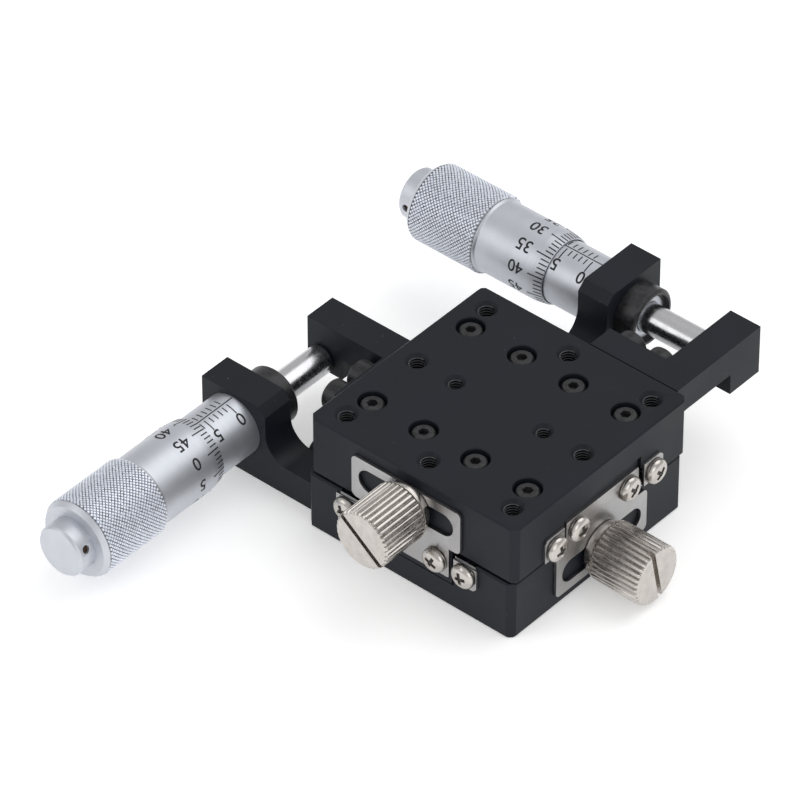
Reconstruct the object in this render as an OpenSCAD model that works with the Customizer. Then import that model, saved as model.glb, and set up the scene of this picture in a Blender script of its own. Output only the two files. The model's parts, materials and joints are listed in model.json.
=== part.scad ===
// Two-axis microscope stage: a square base, a cross carriage and a square table on
// crossed-roller ways, driven by two dial heads and locked by two knurled knobs.
// The lower way runs along Y and the upper way along X. Millimetres, Z up.
// Origin: centre of the underside of the base.

/* [Blocks] */
// Side of the square base and table
block_w = 40; // [39:0.5:44]
// Height of the base and of the table
block_h = 10.5; // [10.5:0.25:12]
// Gap between the base and the table
block_gap = 0.5; // [0.4:0.05:0.8]
// Chamfer on the upright corners
corner_cut = 1.1; // [0.5:0.1:2]
// Broken edge round every face
edge_cut = 0.3; // [0.1:0.05:0.5]

/* [Dials] */
// Reading of the dial head that moves the Y way
y_reading = 6.43; // [0.5:0.01:12.5]
// Reading of the dial head that moves the X way
x_reading = 5.8; // [0.5:0.01:12.5]
// Reading at which the Y way stands in its middle
y_middle_reading = 6.5; // [6:0.1:7]
// Reading at which the X way stands in its middle
x_middle_reading = 6.3; // [6:0.1:7]
// Full travel of a dial head
dial_travel = 13; // [12:0.5:13]

/* [Ways] */
// Height of a rail
rail_h = 4; // [3.8:0.1:4.2]
// Width of a rail
rail_w = 3.9; // [3.7:0.1:4]
// Distance of each roller row from the middle of its way
roller_row = 8.9; // [8.8:0.05:9]
// Height of the lower rails' mid-line above the underside
rail_mid = 8.4; // [8.3:0.05:8.45]
// Diameter of a roller
roller_d = 2; // [1.8:0.1:2]
// Number of rollers in a cage
roller_count = 11; // [7:2:11]

/* [Dial heads] */
// Distance of a dial axis from the side of the block
dial_out = 16.8; // [16.5:0.1:18]
// Height of the Y dial axis above the underside
dial_z = 8.55; // [8.4:0.05:8.8]
// Diameter of the graduated sleeve
sleeve_d = 10.5; // [10:0.1:10.6]
// Diameter of the thimble's smooth barrel
thimble_d = 12; // [11.6:0.1:12.4]
// Diameter over the thimble's knurl
knurl_d = 13.2; // [12.8:0.1:13.6]
// Length of the thimble without its end cap
thimble_len = 26.8; // [25.5:0.1:28]
// Diameter of the spindle
spindle_d = 4.9; // [4.5:0.1:5]

/* [Locks] */
// Diameter over the knurl of a lock knob
lock_knob_d = 9.9; // [9:0.1:10]
// Length of a lock knob
lock_knob_len = 9.2; // [8:0.1:10]
// Thickness of a lock plate
lock_plate_t = 0.5; // [0.4:0.05:0.7]
// Length of the slot in a lock plate
lock_slot_len = 18.3; // [18:0.1:19]

/* [Hidden] */
// Curve quality
$fn = 48;
// Overrun that carries every cut past the face it leaves
over = 0.4;
// Seat gap under the lock plates, and between them and their washers
slide_gap = 0.08;
// Radial clearance of a shaft that turns or slides in its bore
run_gap = 0.05;
// Radial clearance of a screw in a plain hole
screw_gap = 0.2;
// Radial clearance of a screw in its thread
thread_gap = 0.02;

// Places that follow from the blocks and the readings
half_w = block_w / 2;
mid_z = block_h + block_gap / 2;
y_shift = y_middle_reading - y_reading;
x_shift = x_middle_reading - x_reading;

// Rails: inner faces, outer faces and the groove that the rollers run in. The inner
// rails stop short of the carriage's solid ends.
arm_end_t = 3;
cage_gap = 0.6;
roller_play = 0.03;
roller_end_play = 0.2;
roller_pitch = 2.5;
row_reach = (roller_d / 2 + roller_play) * sqrt(2);
groove_half = row_reach - cage_gap / 2;
outer_in = roller_row + cage_gap / 2;
outer_out = outer_in + rail_w;
inner_out = roller_row - cage_gap / 2;
inner_in = inner_out - rail_w;
rail_low = rail_mid - rail_h / 2;
rail_top = rail_mid + rail_h / 2;
inner_rail_len = block_w - 2 * arm_end_t;
rail_screw_places = [-15, -5, 5, 15];
rail_screw_row = 11.25;
inner_screw_row = 6.2;
rail_screw_grip = 1.7;
end_screw_row = 11.45;
plate_screw_row = 5.9;

// Cages
cage_t = 0.4;
cage_h = 3.5;
cage_margin = 1;
pocket_gap = 0.1;
cage_len = (roller_count - 1) * roller_pitch + roller_d + 2 * cage_margin;
pocket_h = (roller_d + roller_d - roller_end_play) / sqrt(2) + 2 * pocket_gap;

// Carriage: a spine and a bottom flange for each way, solid at both ends
arm_gap = 0.15;
flange_t = 1.8;
floor_gap = 0.2;
flange_gap = 0.3;
flange_low = rail_low - flange_t;
floor_z = flange_low - floor_gap;
arm_top = mid_z + block_gap / 2 - arm_gap;

// Cap screws of the outer rails
m2_d = 2;
m2_head_d = 3.8;
m2_head_h = 2;
m2_hex = 1.5;
m2_bore_d = 4.5;
m2_bore_mouth_d = 4.8;
m2_sink = 0.45;

// Countersunk screws of the inner rails
flat_head_h = 0.9;
flat_screw_reach = 2.2;

// Cross-recess screws of the plates and tabs
pan_head_d = 4;
pan_head_h = 1.15;
pan_round = 0.55;
pan_screw_len = 3.3;
pan_slot_w = 0.55;
pan_slot_len = 2.3;
pan_slot_deep = 0.7;

// Tapped holes of the table and base
m3_tap_d = 2.5;
m3_mouth_d = 3.8;
m25_tap_d = 2.1;
m25_mouth_d = 3.4;
grid_pitch = 16;
grid_deep = 3.5;
pair_half = 8.5;

// Lock plates, measured from the mid-line of the slot
plate_wide_w = 21;
plate_narrow_w = 16.7;
plate_up = 3.6;
plate_step = 4.2;
plate_down = 9.8;
plate_corner = 0.9;
plate_low_corner = 0.3;
lock_z = 15.8;
lock_slot_h = 4.1;
plate_screw_down = lock_z - rail_mid;

// Lock knob, washer and stud
stud_d = 3;
stud_deep = 5.5;
lock_hole_deep = 6.3;
washer_d = 8.6;
washer_t = 1.3;
collar_len = 0.85;
collar_d = 9.7;
knurl_deep = 0.35;
knurl_teeth = 34;
// corners of one ridge: share of the pitch, share of the depth
knurl_shares = [[0, 1], [0.3, 1], [0.5, 0], [0.8, 0]];
knob_rim = 0.3;
knob_face_in = 0.1;
coin_slot_w = 0.9;
coin_slot_deep = 1.2;
y_face_slot_turn = -38;
x_face_slot_turn = 102;

// End tabs of the outer rails
tab_in = 9.2;
tab_w = 4.4;
tab_low = 6;
tab_h = 4.2;
tab_t = 0.5;
tab_cut = 0.6;

// Holder of a dial head
holder_w = 12.7;
holder_t = 5.8;
holder_up = 5.9;
holder_low = 0.1;
holder_arm_top = 5.4;
holder_bevel = 1.5;
holder_arc_r = 4.3;
y_holder_at = -17.3;
x_holder_at = -9.5;
foot_t = 4.7;
foot_len = 16.8;
foot_screw_in = 2.7;
foot_screw_pitch = 5.6;
foot_cut_reach = 9;
holder_screw_up = 3.1;
face_relief = 0.3;
relief_up = 0.3;

// Height by which the upper dial head stands above the lower one
stage_rise = 6.2;

// Bracket that the spindle pushes on
bracket_top = 15.2;
bracket_foot_h = 6.2;
bracket_reach = 19.8;
bracket_arm_t = 5.1;
bracket_leg_l = 7;
bracket_leg_h = 8.9;
bracket_screw_pitch = 5.8;
y_bracket_screw_in = 2.6;
y_bracket_screw_down = 3.1;
x_bracket_screw_in = 2.7;
x_bracket_screw_down = 3.6;
y_bracket_at = 2.83;
x_bracket_at = 12;
tip_gap = 0.03;

// Cap screws of the holders and brackets
m3_d = 3;
m3_head_d = 5;
m3_head_h = 3;
m3_hex = 2.5;
m3_reach = 2.6;

// Dial head: stations are measured back from the holder's outer face
zero_at = 2;
stem_d = 7;
nut_d = 9.7;
nut_len = 3.7;
nut_bevel = 0.4;
nut_recess = 0.9;
nut_recess_d = 8;
sleeve_spare = 7;
thread_d = 6;
thread_start = 3.2;
thread_relief = 0.4;
thimble_gap = 0.15;
bevel_len = 2.3;
bevel_edge_d = 11.2;
knurl_at = 13.3;
knurl_rim = 0.5;
rear_rim_len = 0.8;
rear_rim_in = 0.6;
bore_spare = 1;
hub_d = 4;
cap_d = 8.5;
cap_front_d = 7.9;
cap_len = 3.2;
cap_bevel = 0.4;
cap_bore_deep = 1.6;
cap_pin_hole_d = 1.3;
cap_pin_hole_deep = 1.5;
y_cap_hole_turn = 66;
x_cap_hole_turn = 90;
tip_bevel = 0.3;
barrel_len = zero_at + dial_travel + sleeve_spare;
thimble_bore_deep = barrel_len - zero_at + bore_spare;

// Return springs and their pins
spring_d = 3.2;
spring_wire = 0.45;
spring_z = 6.4;
spring_slot_w = 3.8;
spring_slot_deep = 4.3;
spring_slot_from = -16.2;
spring_slot_to = 15.6;
fixed_pin_at = -9;
moving_pin_at = 14;
pin_d = 1.4;
pin_seat = 1.6;
pin_top = 7.6;
// metal between the table's pin and the hole of the pair above it
pin_wall = 0.3;
pair_deep = floor_z - pin_seat - pin_wall;
hook_r = 1.1;
hook_gap = 0.1;

// Tapped holes in the underside
base_hole_pitch = 32;
base_hole_deep = 5;

// Places. The upper way is the lower way turned half over about a level diagonal. The
// upper dial head is the lower one raised and turned a quarter turn.
module flipped() translate([0, 0, 2 * mid_z]) rotate(a = 180, v = [1, -1, 0]) children();
module raised() translate([0, 0, stage_rise]) rotate([0, 0, -90]) children();
module on_carriage() translate([0, y_shift, 0]) children();
module on_table() translate([x_shift, y_shift, 0]) children();
module both_sides() for (side = [0, 1]) mirror([side, 0, 0]) children();
module both_ends() for (side = [0, 1]) mirror([0, side, 0]) children();

// Extrudes an outline drawn in X and Z along Y
module along_y(len) rotate([90, 0, 0]) linear_extrude(len, center = true) children();

// Rectangle with its corners cut off, centred
module cut_rect(w, h, c) polygon([
    [w / 2 - c, -h / 2], [w / 2, -h / 2 + c], [w / 2, h / 2 - c], [w / 2 - c, h / 2],
    [-w / 2 + c, h / 2], [-w / 2, h / 2 - c], [-w / 2, -h / 2 + c], [-w / 2 + c, -h / 2]]);

// Rectangle from low to high corner
module box2(low, high) translate(low) square(high - low);
module box3(low, high) translate(low) cube(high - low);

// Tapped hole with a countersunk mouth, going down from z = 0
module tapped_hole(d, mouth_d, deep) {
    translate([0, 0, -deep]) cylinder(d = d, h = deep + over);
    translate([0, 0, -(mouth_d - d) / 2]) cylinder(d1 = d, d2 = mouth_d, h = (mouth_d - d) / 2);
    cylinder(d = mouth_d, h = over);
}

// Counterbore for a rail screw, going down from z = 0
module rail_screw_hole(deep) {
    translate([0, 0, -deep]) cylinder(r = m2_d / 2 + screw_gap, h = deep);
    translate([0, 0, -m2_sink - m2_head_h]) cylinder(d = m2_bore_d, h = m2_sink + m2_head_h + over);
    translate([0, 0, -(m2_bore_mouth_d - m2_bore_d) / 2])
        cylinder(d1 = m2_bore_d, d2 = m2_bore_mouth_d, h = (m2_bore_mouth_d - m2_bore_d) / 2);
}

// Socket cap screw: the head stands above z = 0 and the shank below it
module cap_screw(d, len, head_d, head_h, hex) difference() {
    union() {
        translate([0, 0, -len]) cylinder(d = d, h = len + head_h / 2);
        cylinder(d = head_d, h = head_h - edge_cut);
        translate([0, 0, head_h - edge_cut])
            cylinder(d1 = head_d, d2 = head_d - 2 * edge_cut, h = edge_cut);
    }
    translate([0, 0, head_h / 2]) cylinder(d = hex / cos(30), h = head_h, $fn = 6);
}

// Countersunk screw: its flat face lies at z = 0 and it points down
module flat_screw(len) difference() {
    union() {
        translate([0, 0, -flat_head_h]) cylinder(d1 = m2_d, d2 = m2_head_d, h = flat_head_h);
        translate([0, 0, -len]) cylinder(d = m2_d, h = len - flat_head_h / 2);
    }
    translate([0, 0, -flat_head_h * 2 / 3]) cylinder(d = m2_hex / cos(30), h = flat_head_h, $fn = 6);
}

// Pan-head screw with a cross recess: the head stands above z = 0
module pan_screw() difference() {
    union() {
        translate([0, 0, -pan_screw_len]) cylinder(d = m2_d, h = pan_screw_len + pan_head_h / 2);
        rotate_extrude() union() {
            square([pan_head_d / 2, pan_head_h - pan_round]);
            square([pan_head_d / 2 - pan_round, pan_head_h]);
            translate([pan_head_d / 2 - pan_round, pan_head_h - pan_round]) intersection() {
                circle(r = pan_round);
                square(pan_round);
            }
        }
    }
    for (turn = [0, 90]) rotate([0, 0, turn])
        translate([-pan_slot_len / 2, -pan_slot_w / 2, pan_head_h - pan_slot_deep])
            cube([pan_slot_len, pan_slot_w, pan_slot_deep + over]);
}

// Square block with its corners chamfered and its edges broken, on z = 0
module block_body() translate([0, 0, block_h / 2]) intersection() {
    linear_extrude(block_h, center = true) cut_rect(block_w, block_w, corner_cut);
    along_y(block_w) cut_rect(block_w, block_h, edge_cut);
    rotate([0, 0, 90]) along_y(block_w) cut_rect(block_w, block_h, edge_cut);
}

// Block of the lower way: an open channel along Y, with seats for the outer rails
module way_block() difference() {
    block_body();
    along_y(block_w + 2 * over) {
        box2([-outer_out, rail_low], [outer_out, block_h + over]);
        box2([-inner_out - flange_gap, floor_z], [inner_out + flange_gap, block_h + over]);
    }
    both_sides() for (y = rail_screw_places) translate([rail_screw_row, y, 0])
        mirror([0, 0, 1]) rail_screw_hole(rail_low + over);
    both_sides() both_ends() translate([end_screw_row, half_w, rail_mid]) rotate([-90, 0, 0])
        cylinder(r = m2_d / 2 + thread_gap, h = over);
    // tapped hole of the lock knob, in the +X wall
    translate([half_w, 0, 2 * mid_z - lock_z]) rotate([0, 90, 0])
        tapped_hole(stud_d + 2 * run_gap, stud_d + 4 * edge_cut, lock_hole_deep);
    // seat of the fixed spring pin
    translate([0, fixed_pin_at, floor_z - pin_seat]) cylinder(d = pin_d, h = pin_seat + over);
}

// Outer rail on the +X side, with its screw holes
module outer_rail() difference() {
    along_y(block_w) polygon([[outer_in, rail_low], [outer_out, rail_low], [outer_out, rail_top],
        [outer_in, rail_top], [outer_in, rail_mid + groove_half], [roller_row + row_reach, rail_mid],
        [outer_in, rail_mid - groove_half]]);
    for (y = rail_screw_places) translate([rail_screw_row, y, rail_low - over])
        cylinder(r = m2_d / 2 + thread_gap, h = rail_screw_grip + over);
    both_ends() translate([end_screw_row, half_w + over, rail_mid]) rotate([90, 0, 0])
        cylinder(r = m2_d / 2 + thread_gap, h = pan_screw_len - tab_t + over);
}

// Inner rails of one way
module inner_rails() both_sides() difference() {
    along_y(inner_rail_len) polygon([[inner_in, rail_low], [inner_out, rail_low],
        [inner_out, rail_mid - groove_half], [roller_row - row_reach, rail_mid],
        [inner_out, rail_mid + groove_half], [inner_out, rail_top], [inner_in, rail_top]]);
    for (y = rail_screw_places) translate([inner_screw_row, y, rail_low - over])
        cylinder(r = m2_d / 2 + thread_gap, h = flat_screw_reach + over);
}

// Screws of one way's outer and inner rails
module outer_rail_screws() both_sides() for (y = rail_screw_places)
    translate([rail_screw_row, y, m2_sink + m2_head_h]) mirror([0, 0, 1])
        cap_screw(m2_d, rail_low - m2_sink - m2_head_h + rail_screw_grip, m2_head_d, m2_head_h, m2_hex);
module inner_screws() both_sides() for (y = rail_screw_places)
    translate([inner_screw_row, y, flange_low]) mirror([0, 0, 1])
        flat_screw(flange_t + flat_screw_reach - thread_gap);

// Tabs that close the ends of the outer rails, and their screws
module end_tabs() both_sides() both_ends() translate([0, half_w + tab_t / 2, 0]) difference() {
    along_y(tab_t) intersection() {
        box2([tab_in, tab_low], [tab_in + tab_w, tab_low + tab_h]);
        translate([tab_in + tab_w / 2 - tab_cut / 2, tab_low + tab_h / 2 + tab_cut / 2])
            cut_rect(tab_w + tab_cut, tab_h + tab_cut, tab_cut);
    }
    translate([end_screw_row, 0, rail_mid]) rotate([90, 0, 0])
        cylinder(r = m2_d / 2 + run_gap, h = tab_t + over, center = true);
}
module tab_screws() both_sides() both_ends()
    translate([end_screw_row, half_w + tab_t, rail_mid]) rotate([-90, 0, 0]) pan_screw();

// Pin that a spring hooks on
module spring_pin(at, low) translate([0, at, low]) cylinder(d = pin_d, h = pin_top - low);

// Arm of the carriage along one way
module carriage_arm() difference() {
    union() {
        along_y(block_w) box2([-inner_in, flange_low], [inner_in, arm_top]);
        along_y(block_w) box2([-inner_out, flange_low], [inner_out, rail_low]);
        along_y(2 * inner_out) box2([-inner_out, rail_top], [inner_out, 2 * mid_z - rail_top]);
        // the end that carries the lock plate stands proud by the plate's seat gap
        box3([-inner_out, -half_w - slide_gap, flange_low], [inner_out, -half_w + arm_end_t, arm_top]);
        box3([-inner_out, half_w - arm_end_t, flange_low], [inner_out, half_w, arm_top]);
    }
    // slot of the return spring, open to the block below
    box3([-spring_slot_w / 2, spring_slot_from, flange_low - over],
        [spring_slot_w / 2, spring_slot_to, flange_low + spring_slot_deep]);
    translate([0, moving_pin_at, pin_top - over]) cylinder(d = pin_d, h = pin_seat + over);
    both_sides() for (y = rail_screw_places) translate([inner_screw_row, y, flange_low]) {
        translate([0, 0, -over]) cylinder(r = m2_d / 2 + thread_gap, h = flange_t + 2 * over);
        cylinder(d1 = m2_head_d, d2 = m2_d, h = flat_head_h);
    }
    // lock plate screws at the -Y end
    both_sides() translate([plate_screw_row, -half_w - over, rail_mid]) rotate([-90, 0, 0])
        cylinder(r = m2_d / 2 + thread_gap, h = pan_screw_len - lock_plate_t + slide_gap + over);
}

// Lock plate on the -Y face of the lower way: a long slot over the table,
// a narrower tongue between the tabs of the base
module lock_plate() translate([0, -half_w - slide_gap - lock_plate_t / 2, lock_z]) difference() {
    along_y(lock_plate_t) {
        translate([0, (plate_up - plate_step) / 2])
            offset(r = plate_corner) square([plate_wide_w, plate_up + plate_step]
                - 2 * [plate_corner, plate_corner], center = true);
        offset(r = plate_low_corner) box2(
            [-plate_narrow_w / 2 + plate_low_corner, -plate_down + plate_low_corner],
            [plate_narrow_w / 2 - plate_low_corner, -plate_low_corner]);
    }
    both_sides() translate([(lock_slot_len - lock_slot_h) / 2, 0, 0]) rotate([90, 0, 0])
        cylinder(d = lock_slot_h, h = lock_plate_t + over, center = true);
    cube([lock_slot_len - lock_slot_h, lock_plate_t + over, lock_slot_h], center = true);
    both_sides() translate([plate_screw_row, 0, -plate_screw_down]) rotate([90, 0, 0])
        cylinder(r = m2_d / 2 + run_gap, h = lock_plate_t + over, center = true);
}
module plate_screws() both_sides()
    translate([plate_screw_row, -half_w - slide_gap - lock_plate_t, rail_mid])
        rotate([90, 0, 0]) pan_screw();

// Washer and knob of a lock, on the -Y face of the lower way
module lock_at(out) translate([0, -half_w - 2 * slide_gap - lock_plate_t - out, lock_z])
    rotate([90, 0, 0]) children();
module lock_washer() lock_at(0) difference() {
    cylinder(d = washer_d, h = washer_t);
    translate([0, 0, -over]) cylinder(r = stud_d / 2 + screw_gap, h = washer_t + 2 * over);
}
module knurl_outline() {
    root = lock_knob_d / 2 - knurl_deep;
    polygon([for (i = [0 : knurl_teeth - 1]) for (corner = knurl_shares)
        let (a = (i + corner[0]) * 360 / knurl_teeth,
             r = root + corner[1] * knurl_deep) r * [cos(a), sin(a)]]);
}
module lock_knob(slot_turn) lock_at(washer_t) difference() {
    union() {
        translate([0, 0, -stud_deep - washer_t - lock_plate_t - 2 * slide_gap])
            cylinder(d = stud_d, h = stud_deep + washer_t + lock_plate_t + 2 * slide_gap + over);
        cylinder(d = collar_d, h = collar_len);
        cylinder(d = lock_knob_d - 2 * knurl_deep - 2 * knob_face_in, h = lock_knob_len);
        translate([0, 0, collar_len]) linear_extrude(lock_knob_len - collar_len - knob_rim)
            knurl_outline();
    }
    rotate([0, 0, slot_turn]) translate([-lock_knob_d, -coin_slot_w / 2, lock_knob_len - coin_slot_deep])
        cube([2 * lock_knob_d, coin_slot_w, coin_slot_deep + over]);
}

// Rollers of one way: the axes of neighbours cross at a right angle
module roller_places() both_sides() for (i = [0 : roller_count - 1])
    translate([roller_row, (i - (roller_count - 1) / 2) * roller_pitch, rail_mid])
        rotate([0, i % 2 == 0 ? 45 : -45, 0]) children();
module rollers() roller_places()
    cylinder(d = roller_d, h = roller_d - roller_end_play, center = true, $fn = 24);
module cages() both_sides() difference() {
    translate([roller_row, 0, rail_mid]) cube([cage_t, cage_len, cage_h], center = true);
    for (i = [0 : roller_count - 1])
        translate([roller_row, (i - (roller_count - 1) / 2) * roller_pitch, rail_mid])
            cube([cage_t + over, roller_d + 2 * pocket_gap, pocket_h], center = true);
}

// Extension spring between its two pins, with a ring hook at each end
module return_spring(from, to) {
    for (y = [from, to]) translate([0, y, spring_z]) rotate_extrude()
        translate([hook_r, 0]) circle(d = spring_wire, $fn = 16);
    coil_from = from + hook_r + spring_wire;
    coil_to = to - hook_r - spring_wire;
    translate([0, coil_from, spring_z]) rotate([-90, 0, 0]) difference() {
        cylinder(d = spring_d, h = coil_to - coil_from);
        translate([0, 0, spring_wire])
            cylinder(d = spring_d - 2 * spring_wire, h = coil_to - coil_from - 2 * spring_wire);
    }
    for (y = [[from + hook_r, coil_from + spring_wire / 2], [coil_to - spring_wire / 2, to - hook_r]])
        translate([0, y[0], spring_z]) rotate([-90, 0, 0])
            cylinder(d = spring_wire, h = y[1] - y[0], $fn = 16);
}

// Place of a dial head on its holder: Z runs along the spindle from the holder's outer face
module dial_at(at) translate([-half_w - dial_out, at, dial_z]) rotate([-90, 0, 0]) children();
module thimble_at(at, reading) dial_at(at) translate([0, 0, -zero_at - reading]) children();

// Holder of a dial head on the -X side, its outer face at y = at
module holder(at, moves) difference() {
    union() {
        translate([0, at + holder_t / 2, 0]) along_y(holder_t) difference() {
            union() {
                translate([-half_w - dial_out - holder_w / 2, holder_low])
                    square([holder_w, dial_z + holder_up - holder_low]);
                box2([-half_w - dial_out, holder_low], [-half_w, holder_arm_top]);
                // fillet between the head and the arm
                difference() {
                    translate([-half_w - dial_out, holder_arm_top])
                        square([holder_w / 2 + holder_arc_r, holder_arc_r]);
                    translate([-half_w - dial_out + holder_w / 2 + holder_arc_r,
                        holder_arm_top + holder_arc_r]) circle(r = holder_arc_r);
                }
            }
            translate([-half_w - dial_out + holder_w / 2, dial_z + holder_up])
                rotate(45) square(holder_bevel * sqrt(2), center = true);
        }
        box3([-half_w - foot_t, at, holder_low], [-half_w, at + foot_len, holder_arm_top]);
    }
    dial_at(at) translate([0, 0, -over]) cylinder(r = stem_d / 2 + thread_gap, h = holder_t + 2 * over);
    holder_bolts(at) translate([0, 0, -foot_t - over])
        cylinder(r = m3_d / 2 + screw_gap, h = foot_t + 2 * over);
    if (moves) {
        // clearance over the edge of the table, and inside the channel of the base
        box3([-half_w - face_relief, at - over, arm_top - stage_rise - relief_up],
            [-half_w + over, at + foot_len + over, holder_arm_top + over]);
        box3([-half_w - foot_cut_reach, at - over, holder_low - over],
            [-half_w + over, -inner_out, mid_z + relief_up - stage_rise]);
    }
}
module holder_bolts(at) for (i = [0, 1])
    translate([-half_w, at + holder_t + foot_screw_in + i * foot_screw_pitch,
        holder_low + holder_screw_up]) rotate([0, 90, 0]) children();
module holder_screws(at) holder_bolts(at) translate([0, 0, -foot_t]) mirror([0, 0, 1])
    cap_screw(m3_d, foot_t + m3_reach, m3_head_d, m3_head_h, m3_hex);
module holder_taps(at) holder_bolts(at) translate([0, 0, -over])
    cylinder(r = m3_d / 2 + thread_gap, h = m3_reach + 2 * over);

// Bracket that the spindle pushes on, its near face at y = at, its top at bracket_top
module bracket(at, screw_in, screw_down) difference() {
    union() {
        box3([-half_w - foot_t, at - foot_len + holder_t, bracket_top - bracket_foot_h],
            [-half_w, at, bracket_top]);
        box3([-half_w - bracket_reach, at, bracket_top - bracket_arm_t],
            [-half_w, at + holder_t, bracket_top]);
        box3([-half_w - bracket_reach, at, bracket_top - bracket_leg_h],
            [-half_w - bracket_reach + bracket_leg_l, at + holder_t, bracket_top]);
    }
    bracket_bolts(at, screw_in, screw_down) translate([0, 0, -foot_t - over])
        cylinder(r = m3_d / 2 + screw_gap, h = foot_t + 2 * over);
    box3([-half_w - face_relief, at - foot_len, bracket_top - bracket_foot_h - over],
        [-half_w + over, at + holder_t + over, mid_z]);
}
module bracket_bolts(at, screw_in, screw_down) for (i = [0, 1])
    translate([-half_w, at - screw_in - i * bracket_screw_pitch, bracket_top - screw_down])
        rotate([0, 90, 0]) children();
module bracket_screws(at, screw_in, screw_down) bracket_bolts(at, screw_in, screw_down)
    translate([0, 0, -foot_t]) mirror([0, 0, 1])
        cap_screw(m3_d, foot_t + m3_reach, m3_head_d, m3_head_h, m3_hex);
module bracket_taps(at, screw_in, screw_down) bracket_bolts(at, screw_in, screw_down)
    translate([0, 0, -over]) cylinder(r = m3_d / 2 + thread_gap, h = m3_reach + 2 * over);

// Graduated sleeve: its stem goes through the holder, its tail holds the spindle's nut
module sleeve() difference() {
    union() {
        translate([0, 0, -barrel_len]) cylinder(d = sleeve_d, h = barrel_len);
        translate([0, 0, -over]) cylinder(d = stem_d, h = holder_t + nut_len - nut_recess + over);
    }
    translate([0, 0, -barrel_len - over])
        cylinder(d = spindle_d + 2 * run_gap, h = barrel_len + holder_t + nut_len + over);
    translate([0, 0, -barrel_len - over])
        cylinder(d = thread_d + 2 * run_gap, h = barrel_len - thread_start + thread_relief + over);
}
module clamp_nut() translate([0, 0, holder_t]) difference() {
    union() {
        cylinder(d = nut_d, h = nut_len - nut_bevel);
        translate([0, 0, nut_len - nut_bevel])
            cylinder(d1 = nut_d, d2 = nut_d - 2 * nut_bevel, h = nut_bevel);
    }
    translate([0, 0, -over]) cylinder(r = stem_d / 2 + thread_gap, h = nut_len + 2 * over);
    translate([0, 0, nut_len - nut_recess]) cylinder(d = nut_recess_d, h = nut_recess + over);
}

// Spindle: tip, threaded middle and the journal that the thimble turns on
module spindle(tip, reading) {
    thread_from = -thread_start - reading;
    hub_from = -zero_at - reading - thimble_bore_deep + run_gap;
    hub_to = -zero_at - reading - thimble_len;
    translate([0, 0, tip - tip_bevel])
        cylinder(d1 = spindle_d, d2 = spindle_d - 2 * tip_bevel, h = tip_bevel);
    translate([0, 0, thread_from]) cylinder(d = spindle_d, h = tip - tip_bevel - thread_from);
    translate([0, 0, hub_from]) cylinder(d = thread_d, h = thread_from - hub_from);
    translate([0, 0, hub_to]) cylinder(d = hub_d, h = hub_from - hub_to);
}

// Thimble, from its graduated edge at z = 0 back towards the cap
module thimble() rotate_extrude() difference() {
    polygon([[0, -thimble_len], [knurl_d / 2 - rear_rim_in, -thimble_len],
        [knurl_d / 2, -thimble_len + rear_rim_len], [knurl_d / 2, -knurl_at - knurl_rim],
        [thimble_d / 2, -knurl_at], [thimble_d / 2, -bevel_len], [bevel_edge_d / 2, 0], [0, 0]]);
    box2([-over, -thimble_bore_deep], [sleeve_d / 2 + thimble_gap, over]);
    box2([-over, -thimble_len - over], [hub_d / 2 + run_gap, over]);
}
module thimble_cap(hole_turn) translate([0, 0, -thimble_len]) difference() {
    union() {
        translate([0, 0, -cap_len + cap_bevel]) cylinder(d = cap_d, h = cap_len - cap_bevel);
        translate([0, 0, -cap_len]) cylinder(d1 = cap_front_d, d2 = cap_d, h = cap_bevel);
    }
    translate([0, 0, -cap_bore_deep]) cylinder(d = hub_d + 2 * run_gap, h = cap_bore_deep + over);
    translate([0, 0, -cap_len / 2]) rotate([90, 0, hole_turn])
        translate([0, 0, cap_d / 2 - cap_pin_hole_deep])
            cylinder(d = cap_pin_hole_d, h = cap_pin_hole_deep + over);
}

// Length from a holder's outer face to the tip of its spindle
y_tip = y_bracket_at + y_shift - y_holder_at - tip_gap;
x_tip = x_bracket_at + x_shift - x_holder_at - tip_gap;

black = [0.16, 0.16, 0.17];
nickel = [0.80, 0.78, 0.75];
steel = [0.70, 0.70, 0.71];
satin = [0.78, 0.78, 0.79];

// Sub-parts of the base
module base_block() color(black) difference() {
    way_block();
    for (x = [-1, 1]) for (y = [-1, 1])
        translate([x * base_hole_pitch / 2, y * base_hole_pitch / 2, 0]) mirror([0, 0, 1])
            tapped_hole(m3_tap_d, m3_mouth_d, base_hole_deep);
    holder_taps(y_holder_at);
}
module base_rail_left() color(steel) mirror([1, 0, 0]) outer_rail();
module base_rail_right() color(steel) outer_rail();
module base_rail_screws() color(steel) outer_rail_screws();
module base_end_tabs() color(nickel) end_tabs();
module base_tab_screws() color(nickel) tab_screws();
module base_spring_pin() color(steel) spring_pin(fixed_pin_at, floor_z - pin_seat);

// Sub-parts of the carriage
module carriage_cross() color(black) on_carriage() difference() {
    union() {
        carriage_arm();
        flipped() carriage_arm();
    }
    bracket_taps(y_bracket_at, y_bracket_screw_in, y_bracket_screw_down);
    raised() holder_taps(x_holder_at);
}
module lower_inner_rails() color(steel) on_carriage() inner_rails();
module upper_inner_rails() color(steel) on_carriage() flipped() inner_rails();
module inner_rail_screws() color(steel) on_carriage() {
    inner_screws();
    flipped() inner_screws();
}
module x_lock_plate() color(nickel) on_carriage() lock_plate();
module y_lock_plate() color(nickel) on_carriage() flipped() lock_plate();
module lock_plate_screws() color(nickel) on_carriage() {
    plate_screws();
    flipped() plate_screws();
}
module lower_spring_pin() color(steel) on_carriage() translate([0, moving_pin_at, 0])
    spring_pin(0, hook_gap + flange_low);
module upper_spring_pin() color(steel) on_carriage() flipped() translate([0, moving_pin_at, 0])
    spring_pin(0, hook_gap + flange_low);

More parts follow.
